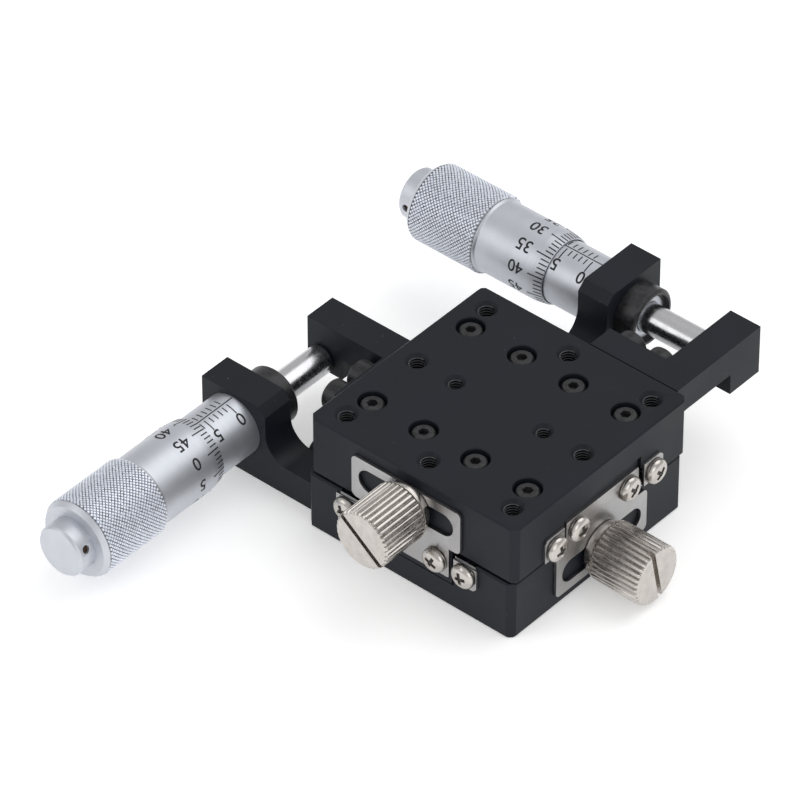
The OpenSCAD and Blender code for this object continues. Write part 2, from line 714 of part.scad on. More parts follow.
// Sub-parts of the table
module table_block() color(black) on_table() difference() {
    flipped() way_block();
    for (x = [-1, 0, 1]) for (y = [-1, 0, 1]) if (x != 0 || y != 0)
        translate([x * grid_pitch, y * grid_pitch, 2 * mid_z])
            tapped_hole(m3_tap_d, m3_mouth_d, grid_deep);
    for (x = [-1, 1]) translate([x * pair_half, 0, 2 * mid_z])
        tapped_hole(m25_tap_d, m25_mouth_d, pair_deep);
    raised()
        bracket_taps(x_bracket_at, x_bracket_screw_in, x_bracket_screw_down);
}
module table_rail_front() color(steel) on_table() flipped() outer_rail();
module table_rail_back() color(steel) on_table() flipped() mirror([1, 0, 0]) outer_rail();
module table_rail_screws() color(steel) on_table() flipped() outer_rail_screws();
module table_end_tabs() color(nickel) on_table() flipped() end_tabs();
module table_tab_screws() color(nickel) on_table() flipped() tab_screws();
module table_spring_pin() color(steel) on_table() flipped() spring_pin(fixed_pin_at, floor_z - pin_seat);

// Dial heads, their holders and the brackets that they push on
module y_holder() color(black) holder(y_holder_at, false);
module x_holder() color(black) on_carriage() raised() holder(x_holder_at, true);
module y_holder_screws() color(black) holder_screws(y_holder_at);
module x_holder_screws() color(black) on_carriage() raised() holder_screws(x_holder_at);
module y_sleeve() color(satin) dial_at(y_holder_at) sleeve();
module x_sleeve() color(satin) on_carriage() raised() dial_at(x_holder_at) sleeve();
module y_clamp_nut() color(black) dial_at(y_holder_at) clamp_nut();
module x_clamp_nut() color(black) on_carriage() raised() dial_at(x_holder_at) clamp_nut();
module y_bracket() color(black) on_carriage()
    bracket(y_bracket_at, y_bracket_screw_in, y_bracket_screw_down);
module x_bracket() color(black) on_table() raised()
    bracket(x_bracket_at, x_bracket_screw_in, x_bracket_screw_down);
module y_bracket_screws() color(black) on_carriage()
    bracket_screws(y_bracket_at, y_bracket_screw_in, y_bracket_screw_down);
module x_bracket_screws() color(black) on_table() raised()
    bracket_screws(x_bracket_at, x_bracket_screw_in, x_bracket_screw_down);
module y_spindle() color(steel) dial_at(y_holder_at) spindle(y_tip, y_reading);
module x_spindle() color(steel) on_carriage() raised() dial_at(x_holder_at) spindle(x_tip, x_reading);
module y_thimble() color(satin) thimble_at(y_holder_at, y_reading) thimble();
module x_thimble() color(satin) on_carriage() raised() thimble_at(x_holder_at, x_reading) thimble();
module y_thimble_cap() color(satin) thimble_at(y_holder_at, y_reading)
    thimble_cap(y_cap_hole_turn);
module x_thimble_cap() color(satin) on_carriage() raised()
    thimble_at(x_holder_at, x_reading) thimble_cap(x_cap_hole_turn);

// Locks: the one on the -Y face holds the X way, the one on the +X face the Y way
module x_lock_washer() color(nickel) on_table() lock_washer();
module x_lock_knob() color(nickel) on_table() lock_knob(y_face_slot_turn);
module y_lock_washer() color(nickel) flipped() lock_washer();
module y_lock_knob() color(nickel) flipped() lock_knob(x_face_slot_turn);

// Rollers and cages lag half the way behind what they carry
module y_cages() color("goldenrod") translate([0, y_shift / 2, 0]) cages();
module y_rollers() color(steel) translate([0, y_shift / 2, 0]) rollers();
module x_cages() color("goldenrod") translate([x_shift / 2, y_shift, 0]) flipped() cages();
module x_rollers() color(steel) translate([x_shift / 2, y_shift, 0]) flipped() rollers();

// Return springs, hooked between the fixed and the moving pin of each way
module y_return_spring() color(steel) return_spring(fixed_pin_at, moving_pin_at + y_shift);
module x_return_spring() color(steel) on_carriage() flipped()
    return_spring(fixed_pin_at - x_shift, moving_pin_at);

base_block();
base_rail_left();
base_rail_right();
base_rail_screws();
base_end_tabs();
base_tab_screws();
base_spring_pin();
carriage_cross();
lower_inner_rails();
upper_inner_rails();
inner_rail_screws();
x_lock_plate();
y_lock_plate();
lock_plate_screws();
lower_spring_pin();
upper_spring_pin();
table_block();
table_rail_front();
table_rail_back();
table_rail_screws();
table_end_tabs();
table_tab_screws();
table_spring_pin();
y_holder();
y_holder_screws();
y_sleeve();
y_clamp_nut();
x_holder();
x_holder_screws();
x_sleeve();
x_clamp_nut();
y_bracket();
y_bracket_screws();
x_bracket();
x_bracket_screws();
y_spindle();
y_thimble();
y_thimble_cap();
x_spindle();
x_thimble();
x_thimble_cap();
x_lock_washer();
x_lock_knob();
y_lock_washer();
y_lock_knob();
y_cages();
y_rollers();
x_cages();
x_rollers();
y_return_spring();
x_return_spring();
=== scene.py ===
"""Finish, markings and studio for a two-axis microscope stage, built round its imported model."""

import json
import math
from contextlib import contextmanager

import bmesh
import bpy
from bpy.props import FloatProperty, FloatVectorProperty, IntProperty, PointerProperty
from mathutils import Matrix, Vector


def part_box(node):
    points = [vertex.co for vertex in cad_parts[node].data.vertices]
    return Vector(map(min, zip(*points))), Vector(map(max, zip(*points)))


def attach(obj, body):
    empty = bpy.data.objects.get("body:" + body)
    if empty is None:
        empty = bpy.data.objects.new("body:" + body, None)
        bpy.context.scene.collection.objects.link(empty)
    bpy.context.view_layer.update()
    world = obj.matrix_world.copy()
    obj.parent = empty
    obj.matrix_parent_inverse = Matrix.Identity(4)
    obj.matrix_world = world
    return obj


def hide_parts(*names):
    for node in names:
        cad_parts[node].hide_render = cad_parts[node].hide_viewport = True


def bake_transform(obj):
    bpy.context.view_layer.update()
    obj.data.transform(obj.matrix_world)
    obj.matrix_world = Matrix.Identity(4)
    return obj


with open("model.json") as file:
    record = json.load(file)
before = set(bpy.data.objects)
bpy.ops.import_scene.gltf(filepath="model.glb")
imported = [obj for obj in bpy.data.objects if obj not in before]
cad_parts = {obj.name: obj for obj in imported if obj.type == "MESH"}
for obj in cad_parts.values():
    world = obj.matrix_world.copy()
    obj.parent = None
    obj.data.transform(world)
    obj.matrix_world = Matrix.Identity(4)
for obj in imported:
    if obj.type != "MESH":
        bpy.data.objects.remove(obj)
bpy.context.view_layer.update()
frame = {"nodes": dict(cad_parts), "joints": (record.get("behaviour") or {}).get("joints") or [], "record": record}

bl_info = {
    "name": "Microscope stage finish",
    "version": (1, 0, 0),
    "blender": (4, 5, 0),
    "location": "View3D > Sidebar > Stage",
    "description": "Dresses a two-axis microscope stage and lights it",
    "category": "Object",
}

MM = 0.001
# height of the finest unevenness of a finish
GRAIN = 0.02 * MM
# vertices closer than this are one
SAME_PLACE = 0.0005 * MM
# travel of a dial head for one turn of its thimble, in millimetres
TURN_TRAVEL = 0.5
UP = Vector((0, 0, 1))
JOINTS = {joint["name"]: joint for joint in frame["joints"]}

# Nodes by finish
ANODISED = ("base_block", "carriage_cross", "table_block", "y_holder", "x_holder", "y_bracket", "x_bracket")
BLACK_SCREWS = ("base_rail_screws", "table_rail_screws", "inner_rail_screws", "y_holder_screws",
                "x_holder_screws", "y_bracket_screws", "x_bracket_screws")
BLACK_NUTS = ("y_clamp_nut", "x_clamp_nut")
PLATES = ("x_lock_plate", "y_lock_plate", "base_end_tabs", "table_end_tabs")
PAN_SCREWS = ("base_tab_screws", "table_tab_screws", "lock_plate_screws")
WASHERS = ("x_lock_washer", "y_lock_washer")
GROUND_STEEL = ("base_rail_left", "base_rail_right", "lower_inner_rails", "upper_inner_rails",
                "table_rail_front", "table_rail_back", "y_rollers", "x_rollers", "base_spring_pin",
                "lower_spring_pin", "upper_spring_pin", "table_spring_pin")
CHROMED = ("y_sleeve", "x_sleeve", "y_thimble_cap", "x_thimble_cap")
POLISHED = ("y_spindle", "x_spindle")
CAGES = ("y_cages", "x_cages")
# Springs: the bodies at their low and high end, and the way they lie
SPRINGS = {"y_return_spring": ("base", "carriage", Vector((0, 1, 0))),
           "x_return_spring": ("carriage", "table", Vector((1, 0, 0)))}

# the body that each node moves with
BODY_OF = {node: body for body, nodes in frame["record"]["behaviour"]["bodies"].items() for node in nodes}

# Dial heads: each one's name, the bodies of its sleeve and thimble, the way its spindle points,
# the side that its figures face, its reading in millimetres and how far its cap's hole stands round
Y_HEAD = {"name": "y", "sleeve": "base", "thimble": "y_thimble", "along": Vector((0, 1, 0)),
          "side": Vector((1, 0, 0)), "reading": 6.4264, "hole_turn": math.radians(66)}
X_HEAD = {"name": "x", "sleeve": "carriage", "thimble": "x_thimble", "along": Vector((1, 0, 0)),
          "side": Vector((0, -1, 0)), "reading": 5.8, "hole_turn": math.radians(90)}
HEADS = (Y_HEAD, X_HEAD)

# Lock knobs: the two directions of the knob's face, the way it points and the turn of its slot
LOCKS = {"x_lock_knob": (Vector((1, 0, 0)), Vector((0, 0, 1)), Vector((0, -1, 0)), math.radians(-38)),
         "y_lock_knob": (Vector((0, -1, 0)), Vector((0, 0, -1)), Vector((1, 0, 0)), math.radians(102))}


def length_prop(name, description, millimetres):
    return FloatProperty(name=name, description=description, default=millimetres * MM, unit="LENGTH")


def number_prop(name, description, number, subtype="NONE"):
    return FloatProperty(name=name, description=description, default=number, subtype=subtype)


def angle_prop(name, description, degrees):
    return number_prop(name, description, math.radians(degrees), "ANGLE")


def count_prop(name, description, number, least):
    return IntProperty(name=name, description=description, default=number, min=least)


def colour_prop(name, description, colour):
    return FloatVectorProperty(name=name, description=description, default=colour, subtype="COLOR",
                               size=3)


class DialSettings(bpy.types.PropertyGroup):
    """Sizes of the dial heads and their markings"""

    divisions: count_prop("Divisions", "Lines round the thimble", 50, 10)
    travel: count_prop("Travel", "Millimetre lines on the sleeve", 13, 5)
    edge_d: length_prop("Edge diameter", "Thimble diameter at its graduated edge", 11.2)
    barrel_d: length_prop("Barrel diameter", "Smooth part of the thimble", 12.0)
    bevel_len: length_prop("Bevel length", "Length of the graduated cone", 2.3)
    sleeve_r: length_prop("Sleeve radius", "Radius that the sleeve's marks lie on", 5.25)
    zero_at: length_prop("Zero line", "Distance of the zero line from the holder", 2.0)
    datum_gap: length_prop("Datum gap", "From the end of the datum line to the holder", 0.3)
    line_w: length_prop("Line width", "Width of an engraved line", 0.2)
    line_lift: length_prop("Line height", "Thickness of the paint in a line", 0.012)
    line_gap: length_prop("Line gap", "From the thimble's edge to its lines", 0.04)
    short_line: length_prop("Short line", "Length of a short thimble line", 1.5)
    long_line: length_prop("Long line", "Length of a long thimble line", 2.7)
    mark_from: angle_prop("Mark start", "From the datum line to a millimetre mark", 4.5)
    short_mark: angle_prop("Short mark", "Far end of a millimetre mark", 17)
    long_mark: angle_prop("Long mark", "Far end of every fifth millimetre mark", 28)
    half_from: angle_prop("Half mark start", "From the datum line to a half-millimetre mark", 3.7)
    half_mark: angle_prop("Half mark", "Far end of a half-millimetre mark", 17.5)
    figure_at: angle_prop("Figure angle", "From the datum line to the sleeve's figures", 38.5)
    figure_h: length_prop("Figure height", "Height of a figure", 2.0)
    figure_bold: length_prop("Figure weight", "Growth of a figure's strokes", 0.03)
    figure_back: length_prop("Figure distance", "From a long line's end to the figures", 2.4)
    cap_r: length_prop("Cap radius", "Radius of the end cap", 4.25)
    hole_r: length_prop("Hole radius", "Radius of the cap's pin hole", 0.66)
    hole_at: length_prop("Hole distance", "From the graduated edge to the pin hole", 28.4)
    hole_deep: length_prop("Hole depth", "Depth of the pin hole", 0.9)


class KnurlSettings(bpy.types.PropertyGroup):
    """Sizes of the diamond knurl on the thimbles"""

    knurl_d: length_prop("Knurl diameter", "Diameter over the points", 13.2)
    depth: length_prop("Depth", "Height of a point", 0.36)
    start: length_prop("Start", "Distance of the knurl from the graduated edge", 13.5)
    end: length_prop("End", "Far end of the knurl from the graduated edge", 26.0)
    around: count_prop("Around", "Points round the thimble", 60, 12)
    rows: count_prop("Rows", "Rows of points along the thimble", 37, 4)
    fill: number_prop("Fill", "Share of its place that a point fills", 0.95, "FACTOR")
    tip: number_prop("Tip", "Share of a point's foot that its flat top keeps", 0.70, "FACTOR")


class BlockSettings(bpy.types.PropertyGroup):
    """Edges, threads and springs of the machined parts"""

    edge: length_prop("Edge", "Width of a broken edge", 0.06)
    corner: angle_prop("Corner", "Faces that meet at more than this get a broken edge", 32)
    thread_pitch: length_prop("Thread pitch", "Pitch of the threads in the tapped holes", 0.5)
    thread_deep: length_prop("Thread depth", "Height of a thread's ridge", 0.26)
    grid_pitch: length_prop("Hole pitch", "Pitch of the M3 holes in the table", 16)
    grid_r: length_prop("Hole radius", "Radius of the M3 holes", 1.25)
    grid_deep: length_prop("Hole depth", "Depth of the threads in the M3 holes", 3.4)
    pair_at: length_prop("Pair distance", "From the middle of the table to an M2.5 hole", 8.5)
    pair_r: length_prop("Pair radius", "Radius of the M2.5 holes", 1.05)
    pair_deep: length_prop("Pair depth", "Depth of the threads in the M2.5 holes", 2.4)
    hook: length_prop("Hook", "Length of a spring's end that keeps its shape", 2.6)


class LockSettings(bpy.types.PropertyGroup):
    """Sizes of the lock knobs and of the cross-recess screws"""

    ridges: count_prop("Ridges", "Ridges round a knob", 34, 12)
    knob_r: length_prop("Knob radius", "Radius over the ridges", 4.95)
    groove: length_prop("Groove depth", "Depth of a groove", 0.40)
    length: length_prop("Knob length", "Length of a knob", 9.2)
    collar: length_prop("Collar", "Length of the smooth collar", 0.3)
    rim: length_prop("Rim", "Bevel at the knob's front", 0.34)
    stud_r: length_prop("Stud radius", "Radius of the stud", 1.5)
    stud: length_prop("Stud", "Length of the stud behind the knob", 7.46)
    slot_w: length_prop("Slot width", "Width of the coin slot", 0.85)
    slot_deep: length_prop("Slot depth", "Depth of the coin slot", 1.2)
    head_r: length_prop("Head radius", "Radius of a screw head", 2.08)
    head_h: length_prop("Head height", "Height of a screw head", 1.4)
    seat_h: length_prop("Head seat", "Height of the head's seat under its outer end", 1.15)
    shank_r: length_prop("Shank radius", "Radius of a screw's shank", 1.0)
    shank: length_prop("Shank", "Length of a screw's shank", 3.3)
    cross_l: length_prop("Cross length", "Half the length of the cross recess", 1.2)
    cross_w: length_prop("Cross width", "Half the width of the cross recess", 0.31)
    cross_deep: length_prop("Cross depth", "Depth of the cross recess", 0.95)


class SocketSettings(bpy.types.PropertyGroup):
    """Sizes of the socket screws with a knurled head"""

    ridges: count_prop("Ridges", "Ridges round a head", 40, 12)
    ridge: length_prop("Ridge", "Half the width of a ridge's foot", 0.11)
    head_r: length_prop("Head radius", "Radius of a head", 2.5)
    head_h: length_prop("Head height", "Height of a head", 3.0)
    foot_gap: length_prop("Foot gap", "From the head's seat to its ridges", 0.35)
    top_gap: length_prop("Top gap", "From the ridges to the head's top", 0.1)


class ColourSettings(bpy.types.PropertyGroup):
    """Colours of the finishes"""

    black: colour_prop("Anodised black", "Colour of the machined parts", (0.0100, 0.0118, 0.0170))
    screw: colour_prop("Screw black", "Colour of the oxide-black screws", (0.022, 0.022, 0.024))
    nickel: colour_prop("Nickel", "Colour of the plates", (0.41, 0.405, 0.405))
    turned: colour_prop("Turned nickel", "Colour of the knobs and plated screws", (0.54, 0.51, 0.48))
    chrome: colour_prop("Satin chrome", "Colour of the dial heads", (0.57, 0.59, 0.635))
    steel: colour_prop("Steel", "Colour of the ground steel", (0.58, 0.58, 0.60))
    brass: colour_prop("Brass", "Colour of the roller cages", (0.72, 0.52, 0.22))
    thread: colour_prop("Thread", "Colour of the cut threads", (0.085, 0.085, 0.09))
    ink: colour_prop("Line black", "Colour of the lines and figures", (0.012, 0.012, 0.014))
    # the hole colour is painted shade: the dark brown of the plug at a pin hole's bottom
    hole: colour_prop("Hole", "Colour at the bottom of a pin hole", (0.06, 0.035, 0.02))
    dust: colour_prop("Dust", "Colour of the dust on the machined parts", (0.13, 0.13, 0.14))


class StudioSettings(bpy.types.PropertyGroup):
    """Camera, floor and light from all round"""

    azimuth: angle_prop("Azimuth", "Camera azimuth", 40.74)
    elevation: angle_prop("Elevation", "Camera elevation", 40.499)
    distance: length_prop("Distance", "Camera distance", 1041.664)
    lens: number_prop("Lens", "Focal length in millimetres", 315.0)
    sensor: number_prop("Sensor", "Width of the sensor in millimetres", 36.0)
    reach: length_prop("Reach", "Distance that the camera sees", 10000)
    slide_right: length_prop("Slide right", "How far the view's middle lies to the right", 14.610)
    slide_up: length_prop("Slide up", "How far the view's middle lies above", -8.888)
    floor: colour_prop("Floor", "Colour of the floor", (0.97, 0.97, 0.97))
    floor_half: length_prop("Floor size", "Half the width of the floor", 3000)
    glow: number_prop("Glow", "Strength of the floor's own light", 0.28)
    sky: number_prop("Sky", "Strength of the light from all round", 0.66)


SETTINGS = {"stage_dial": DialSettings, "stage_knurl": KnurlSettings, "stage_block": BlockSettings,
            "stage_lock": LockSettings, "stage_socket": SocketSettings, "stage_colour": ColourSettings,
            "stage_studio": StudioSettings}

# The middle of the stage and the point that the camera looks at
CENTRE = Vector((0, 0, 11)) * MM
AIM = Vector((0.488, 0.07, 11.0)) * MM
# Lights: each one's name, its place from the middle and its size in metres, and its power in watts
LIGHTS = (("key", (0.17, 0.50, 0.82), 0.90, 2.9), ("front", (-0.45, -0.70, 0.50), 0.60, 1.2),
          ("fill", (0.75, -0.35, 0.40), 0.60, 1.3))


# Materials. Each starts from a shader with constants on its own sockets.
def noise(tree, scale, detail=3.0, stretch=(1, 1, 1)):
    """Noise on object coordinates, in cycles per metre"""
    where = tree.nodes.new("ShaderNodeTexCoord")
    mapping = tree.nodes.new("ShaderNodeMapping")
    mapping.inputs["Scale"].default_value = stretch
    texture = tree.nodes.new("ShaderNodeTexNoise")
    texture.inputs["Scale"].default_value = scale
    texture.inputs["Detail"].default_value = detail
    tree.links.new(where.outputs["Object"], mapping.inputs["Vector"])
    tree.links.new(mapping.outputs["Vector"], texture.inputs["Vector"])
    return texture.outputs["Fac"]


def spread(tree, fac, low, high, from_low=0.3, from_high=0.7):
    """Maps a noise to a range of values"""
    node = tree.nodes.new("ShaderNodeMapRange")
    for label, value in (("From Min", from_low), ("From Max", from_high), ("To Min", low), ("To Max", high)):
        node.inputs[label].default_value = value
    tree.links.new(fac, node.inputs["Value"])
    return node.outputs["Result"]


def tint(tree, fac, first, second):
    """Runs from one colour to another with a factor. The first may come from another node."""
    node = tree.nodes.new("ShaderNodeMix")
    node.data_type = "RGBA"
    if isinstance(first, bpy.types.NodeSocket):
        tree.links.new(first, node.inputs["A"])
    else:
        node.inputs["A"].default_value = (*first, 1)
    node.inputs["B"].default_value = (*second, 1)
    tree.links.new(fac, node.inputs["Factor"])
    return node.outputs["Result"]


def bump(tree, fac, strength, distance):
    """A normal that is bumped by a height"""
    node = tree.nodes.new("ShaderNodeBump")
    node.inputs["Strength"].default_value = strength
    node.inputs["Distance"].default_value = distance
    tree.links.new(fac, node.inputs["Height"])
    return node.outputs["Normal"]


def shaded(colour, share):
    return tuple(channel * share for channel in colour)


def finish(name, colour, metallic, roughness, specular=0.5, cloud=None, shades=None, wear=None,
           gloss=None, grain=None, strength=0.0, distance=GRAIN, dust=None):
    """A material. With its cloud its colour runs between two shades, with its wear its roughness
    between two values, and its grain bumps it. Each of them is a noise: scale, detail, stretch."""
    material = bpy.data.materials.get(name)
    if material:
        return material
    material = bpy.data.materials.new(name)
    material.use_nodes = True
    tree = material.node_tree
    sockets = tree.nodes["Principled BSDF"].inputs
    for label, value in (("Base Color", (*colour, 1)), ("Metallic", metallic), ("Roughness", roughness),
                         ("Specular IOR Level", specular)):
        sockets[label].default_value = value
    noises = {row: noise(tree, *row) for row in dict.fromkeys((cloud, wear, grain)) if row}
    if cloud:
        shade = tint(tree, spread(tree, noises[cloud], 0, 1), *(shaded(colour, share) for share in shades))
        if dust is not None:
            specks = spread(tree, noise(tree, 2600, 1), 0, 1, 0.80, 0.84)
            shade = tint(tree, specks, shade, dust)
        tree.links.new(shade, sockets["Base Color"])
    if wear:
        tree.links.new(spread(tree, noises[wear], *gloss), sockets["Roughness"])
    if grain:
        tree.links.new(bump(tree, noises[grain], strength, distance), sockets["Normal"])
    return material


def anodised():
    """Black anodised aluminium: a fine even grain, cloudy gloss and a little dust"""
    colours = bpy.context.scene.stage_colour
    return finish("anodised_black", colours.black, metallic=0.0, roughness=0.46, specular=0.19,
                  cloud=(90, 4), shades=(0.88, 1.12), wear=(90, 4), gloss=(0.40, 0.52),
                  grain=(9000, 2), strength=0.12, dust=colours.dust)


def black_oxide():
    """Blackened steel with worn, uneven gloss"""
    return finish("black_oxide", bpy.context.scene.stage_colour.screw, metallic=0.35, roughness=0.36,
                  cloud=(1300, 4), shades=(0.7, 1.8), wear=(1300, 4), gloss=(0.28, 0.46),
                  grain=(5000, 2), strength=0.15)


def nickel_plate():
    """Nickel-plated sheet with a rolled grain along its length"""
    rolled = (900, 3, (0.08, 0.08, 2.6))
    return finish("nickel_sheet", bpy.context.scene.stage_colour.nickel, metallic=1.0, roughness=0.34,
                  cloud=(260, 3), shades=(0.93, 1.06), wear=rolled, gloss=(0.27, 0.42),
                  grain=rolled, strength=0.10)


def nickel_turned():
    """Nickel plate on turned parts, brighter than the sheet"""
    return finish("nickel_turned", bpy.context.scene.stage_colour.turned, metallic=1.0, roughness=0.24,
                  cloud=(700, 4), shades=(0.9, 1.1), wear=(700, 4), gloss=(0.18, 0.32),
                  grain=(3500, 2), strength=0.10)


def satin_chrome(head):
    """Satin chrome with a fine grain round a dial head's axis"""
    rings = (1500, 3, tuple(4.0 if part else 0.05 for part in head["along"]))
    return finish("satin_chrome_" + head["name"], bpy.context.scene.stage_colour.chrome, metallic=0.88,
                  roughness=0.44, cloud=(300, 3), shades=(0.96, 1.03), wear=rings, gloss=(0.40, 0.50),
                  grain=rings, strength=0.08)


def knurl_chrome():
    """The tips of the knurl's points: the chrome made brighter as a painted highlight"""
    return finish("knurl_chrome", shaded(bpy.context.scene.stage_colour.chrome, 1.55), metallic=0.35,
                  roughness=0.42, cloud=(1400, 3), shades=(0.88, 1), wear=(1400, 3), gloss=(0.36, 0.50))


def grooves(name, colour, share):
    """Dull metal at a share of a colour. Made darker, it is painted shade at the bottom of a knurl, a recess or a
    pin hole
    """
    return finish(name, shaded(colour, share), metallic=0.7, roughness=0.55, cloud=(2200, 3),
                  shades=(0.6, 1.3))


def bare_thread():
    """Cut threads, where the black finish is thin"""
    return finish("bare_thread", bpy.context.scene.stage_colour.thread, metallic=0.9, roughness=0.40,
                  wear=(3000, 2), gloss=(0.28, 0.46))


def polished_steel():
    """Lapped spindle steel"""
    return finish("polished_steel", bpy.context.scene.stage_colour.steel, metallic=1.0, roughness=0.24,
                  wear=(1100, 3), gloss=(0.18, 0.30), grain=(4200, 2), strength=0.05, distance=GRAIN / 2)


def ground_steel():
    """Ground rails, pins, rollers and springs"""
    ground = (1600, 3, (0.1, 0.1, 3.0))
    return finish("ground_steel", bpy.context.scene.stage_colour.steel, metallic=1.0, roughness=0.26,
                  wear=ground, gloss=(0.18, 0.34), grain=ground, strength=0.12)


def rolled_brass():
    """Brass strip of the roller cages"""
    return finish("rolled_brass", bpy.context.scene.stage_colour.brass, metallic=1.0, roughness=0.32,
                  cloud=(500, 3), shades=(0.82, 1), wear=(500, 3), gloss=(0.25, 0.42))


def line_ink():
    """Black paint in the engraved lines and figures"""
    return finish("line_black", bpy.context.scene.stage_colour.ink, metallic=0.0, roughness=0.55,
                  specular=0.3, cloud=(3000, 2), shades=(0.7, 1.9))


# Geometry trees
def new_tree(name, inputs):
    """A geometry tree with named number inputs, a material input and one geometry each way"""
    tree = bpy.data.node_groups.new(name, "GeometryNodeTree")
    tree.interface.new_socket("Geometry", in_out="INPUT", socket_type="NodeSocketGeometry")
    for label, kind, default in inputs:
        socket = tree.interface.new_socket(label, in_out="INPUT", socket_type=kind)
        if default is not None:
            socket.default_value = default
    tree.interface.new_socket("Material", in_out="INPUT", socket_type="NodeSocketMaterial")
    tree.interface.new_socket("Geometry", in_out="OUTPUT", socket_type="NodeSocketGeometry")
    return tree, tree.nodes.new("NodeGroupInput"), tree.nodes.new("NodeGroupOutput")


def end_tree(tree, group_in, group_out, points, copy, turn=None):
    """Puts a copy on each point, makes the copies real, sets their material and hands them out"""
    link = tree.links.new
    copies = tree.nodes.new("GeometryNodeInstanceOnPoints")
    link(points, copies.inputs["Points"])
    link(copy, copies.inputs["Instance"])
    if turn:
        link(turn, copies.inputs["Rotation"])
    real = tree.nodes.new("GeometryNodeRealizeInstances")
    link(copies.outputs["Instances"], real.inputs["Geometry"])
    paint = tree.nodes.new("GeometryNodeSetMaterial")
    link(real.outputs["Geometry"], paint.inputs["Geometry"])
    link(group_in.outputs["Material"], paint.inputs["Material"])
    link(paint.outputs["Geometry"], group_out.inputs["Geometry"])
    return tree


def maths(tree, operation, *terms):
    """The result of a sum. Each of its terms is a number or comes from another node."""
    made = tree.nodes.new("ShaderNodeMath")
    made.operation = operation
    for at, value in enumerate(terms):
        if isinstance(value, (int, float)):
            made.inputs[at].default_value = value
        else:
            tree.links.new(value, made.inputs[at])
    return made.outputs[0]


def grid_tree():
    """Copies the seed round the Z axis and in rows along it. Each row may be turned by a half step."""
    name = "rings_of_copies"
    if name in bpy.data.node_groups:
        return bpy.data.node_groups[name]
    tree, group_in, group_out = new_tree(name, [("Around", "NodeSocketInt", 50),
                                                ("Rows", "NodeSocketInt", 1),
                                                ("Row Pitch", "NodeSocketFloat", 0.001),
                                                ("Half Steps", "NodeSocketFloat", 0.0),
                                                ("Start Angle", "NodeSocketFloat", 0.0)])
    link, given = tree.links.new, group_in.outputs
    total = maths(tree, "MULTIPLY", given["Around"], given["Rows"])
    points = tree.nodes.new("GeometryNodeMeshLine")
    link(total, points.inputs["Count"])
    points.inputs["Offset"].default_value = (0, 0, 0)
    index = tree.nodes.new("GeometryNodeInputIndex").outputs["Index"]
    row = maths(tree, "FLOOR", maths(tree, "DIVIDE", maths(tree, "ADD", index, 0.5), given["Around"]))
    shift = maths(tree, "MULTIPLY", row, given["Half Steps"])
    step = maths(tree, "DIVIDE", math.tau, given["Around"])
    half = maths(tree, "MULTIPLY", shift, maths(tree, "MULTIPLY", step, 0.5))
    turn = maths(tree, "ADD", maths(tree, "MULTIPLY", index, step), half)
    turn = maths(tree, "ADD", turn, given["Start Angle"])
    rotation = tree.nodes.new("ShaderNodeCombineXYZ")
    link(turn, rotation.inputs["Z"])
    place = tree.nodes.new("ShaderNodeCombineXYZ")
    link(maths(tree, "MULTIPLY", row, given["Row Pitch"]), place.inputs["Z"])
    shift_points = tree.nodes.new("GeometryNodeSetPosition")
    link(points.outputs["Mesh"], shift_points.inputs["Geometry"])
    link(place.outputs["Vector"], shift_points.inputs["Position"])
    return end_tree(tree, group_in, group_out, shift_points.outputs["Geometry"], given["Geometry"],
                    rotation.outputs["Vector"])


def thread_tree():
    """Sweeps a round ridge along a helix down from each of the seed's points"""
    name = "threads_on_points"
    if name in bpy.data.node_groups:
        return bpy.data.node_groups[name]
    tree, group_in, group_out = new_tree(name, [("Radius", "NodeSocketFloat", 0.001),
                                                ("Pitch", "NodeSocketFloat", 0.0005),
                                                ("Depth", "NodeSocketFloat", 0.003),
                                                ("Ridge", "NodeSocketFloat", 0.0001)])
    link, given = tree.links.new, group_in.outputs
    helix = tree.nodes.new("GeometryNodeCurveSpiral")
    helix.inputs["Resolution"].default_value = 28
    link(maths(tree, "DIVIDE", given["Depth"], given["Pitch"]), helix.inputs["Rotations"])
    link(given["Radius"], helix.inputs["Start Radius"])
    link(given["Radius"], helix.inputs["End Radius"])
    link(given["Depth"], helix.inputs["Height"])
    section = tree.nodes.new("GeometryNodeCurvePrimitiveCircle")
    section.inputs["Resolution"].default_value = 6
    link(given["Ridge"], section.inputs["Radius"])
    sweep = tree.nodes.new("GeometryNodeCurveToMesh")
    sweep.inputs["Fill Caps"].default_value = True
    link(helix.outputs["Curve"], sweep.inputs["Curve"])
    link(section.outputs["Curve"], sweep.inputs["Profile Curve"])
    return end_tree(tree, group_in, group_out, given["Geometry"], sweep.outputs["Mesh"])


def points_tree():
    """Puts a copy of an object on each of the seed's points, turned by the point's own angles"""
    name = "copies_on_points"
    if name in bpy.data.node_groups:
        return bpy.data.node_groups[name]
    tree, group_in, group_out = new_tree(name, [("Copy", "NodeSocketObject", None)])
    source = tree.nodes.new("GeometryNodeObjectInfo")
    tree.links.new(group_in.outputs["Copy"], source.inputs["Object"])
    turn = tree.nodes.new("GeometryNodeInputNamedAttribute")
    turn.data_type = "FLOAT_VECTOR"
    turn.inputs["Name"].default_value = "turn"
    return end_tree(tree, group_in, group_out, group_in.outputs["Geometry"], source.outputs["Geometry"],
                    turn.outputs["Attribute"])


def new_object(name, mesh):
    made = bpy.data.objects.new(name, mesh)
    bpy.context.scene.collection.objects.link(made)
    return made


def mesh_from(name, verts, faces=()):
    mesh = bpy.data.meshes.new(name)
    mesh.from_pydata([tuple(v) for v in verts], [], [tuple(f) for f in faces])
    mesh.validate()
    return mesh


def evaluated_mesh(piece):
    """An object's mesh after its modifiers"""
    graph = bpy.context.evaluated_depsgraph_get()
    graph.update()
    return bpy.data.meshes.new_from_object(piece.evaluated_get(graph), depsgraph=graph)


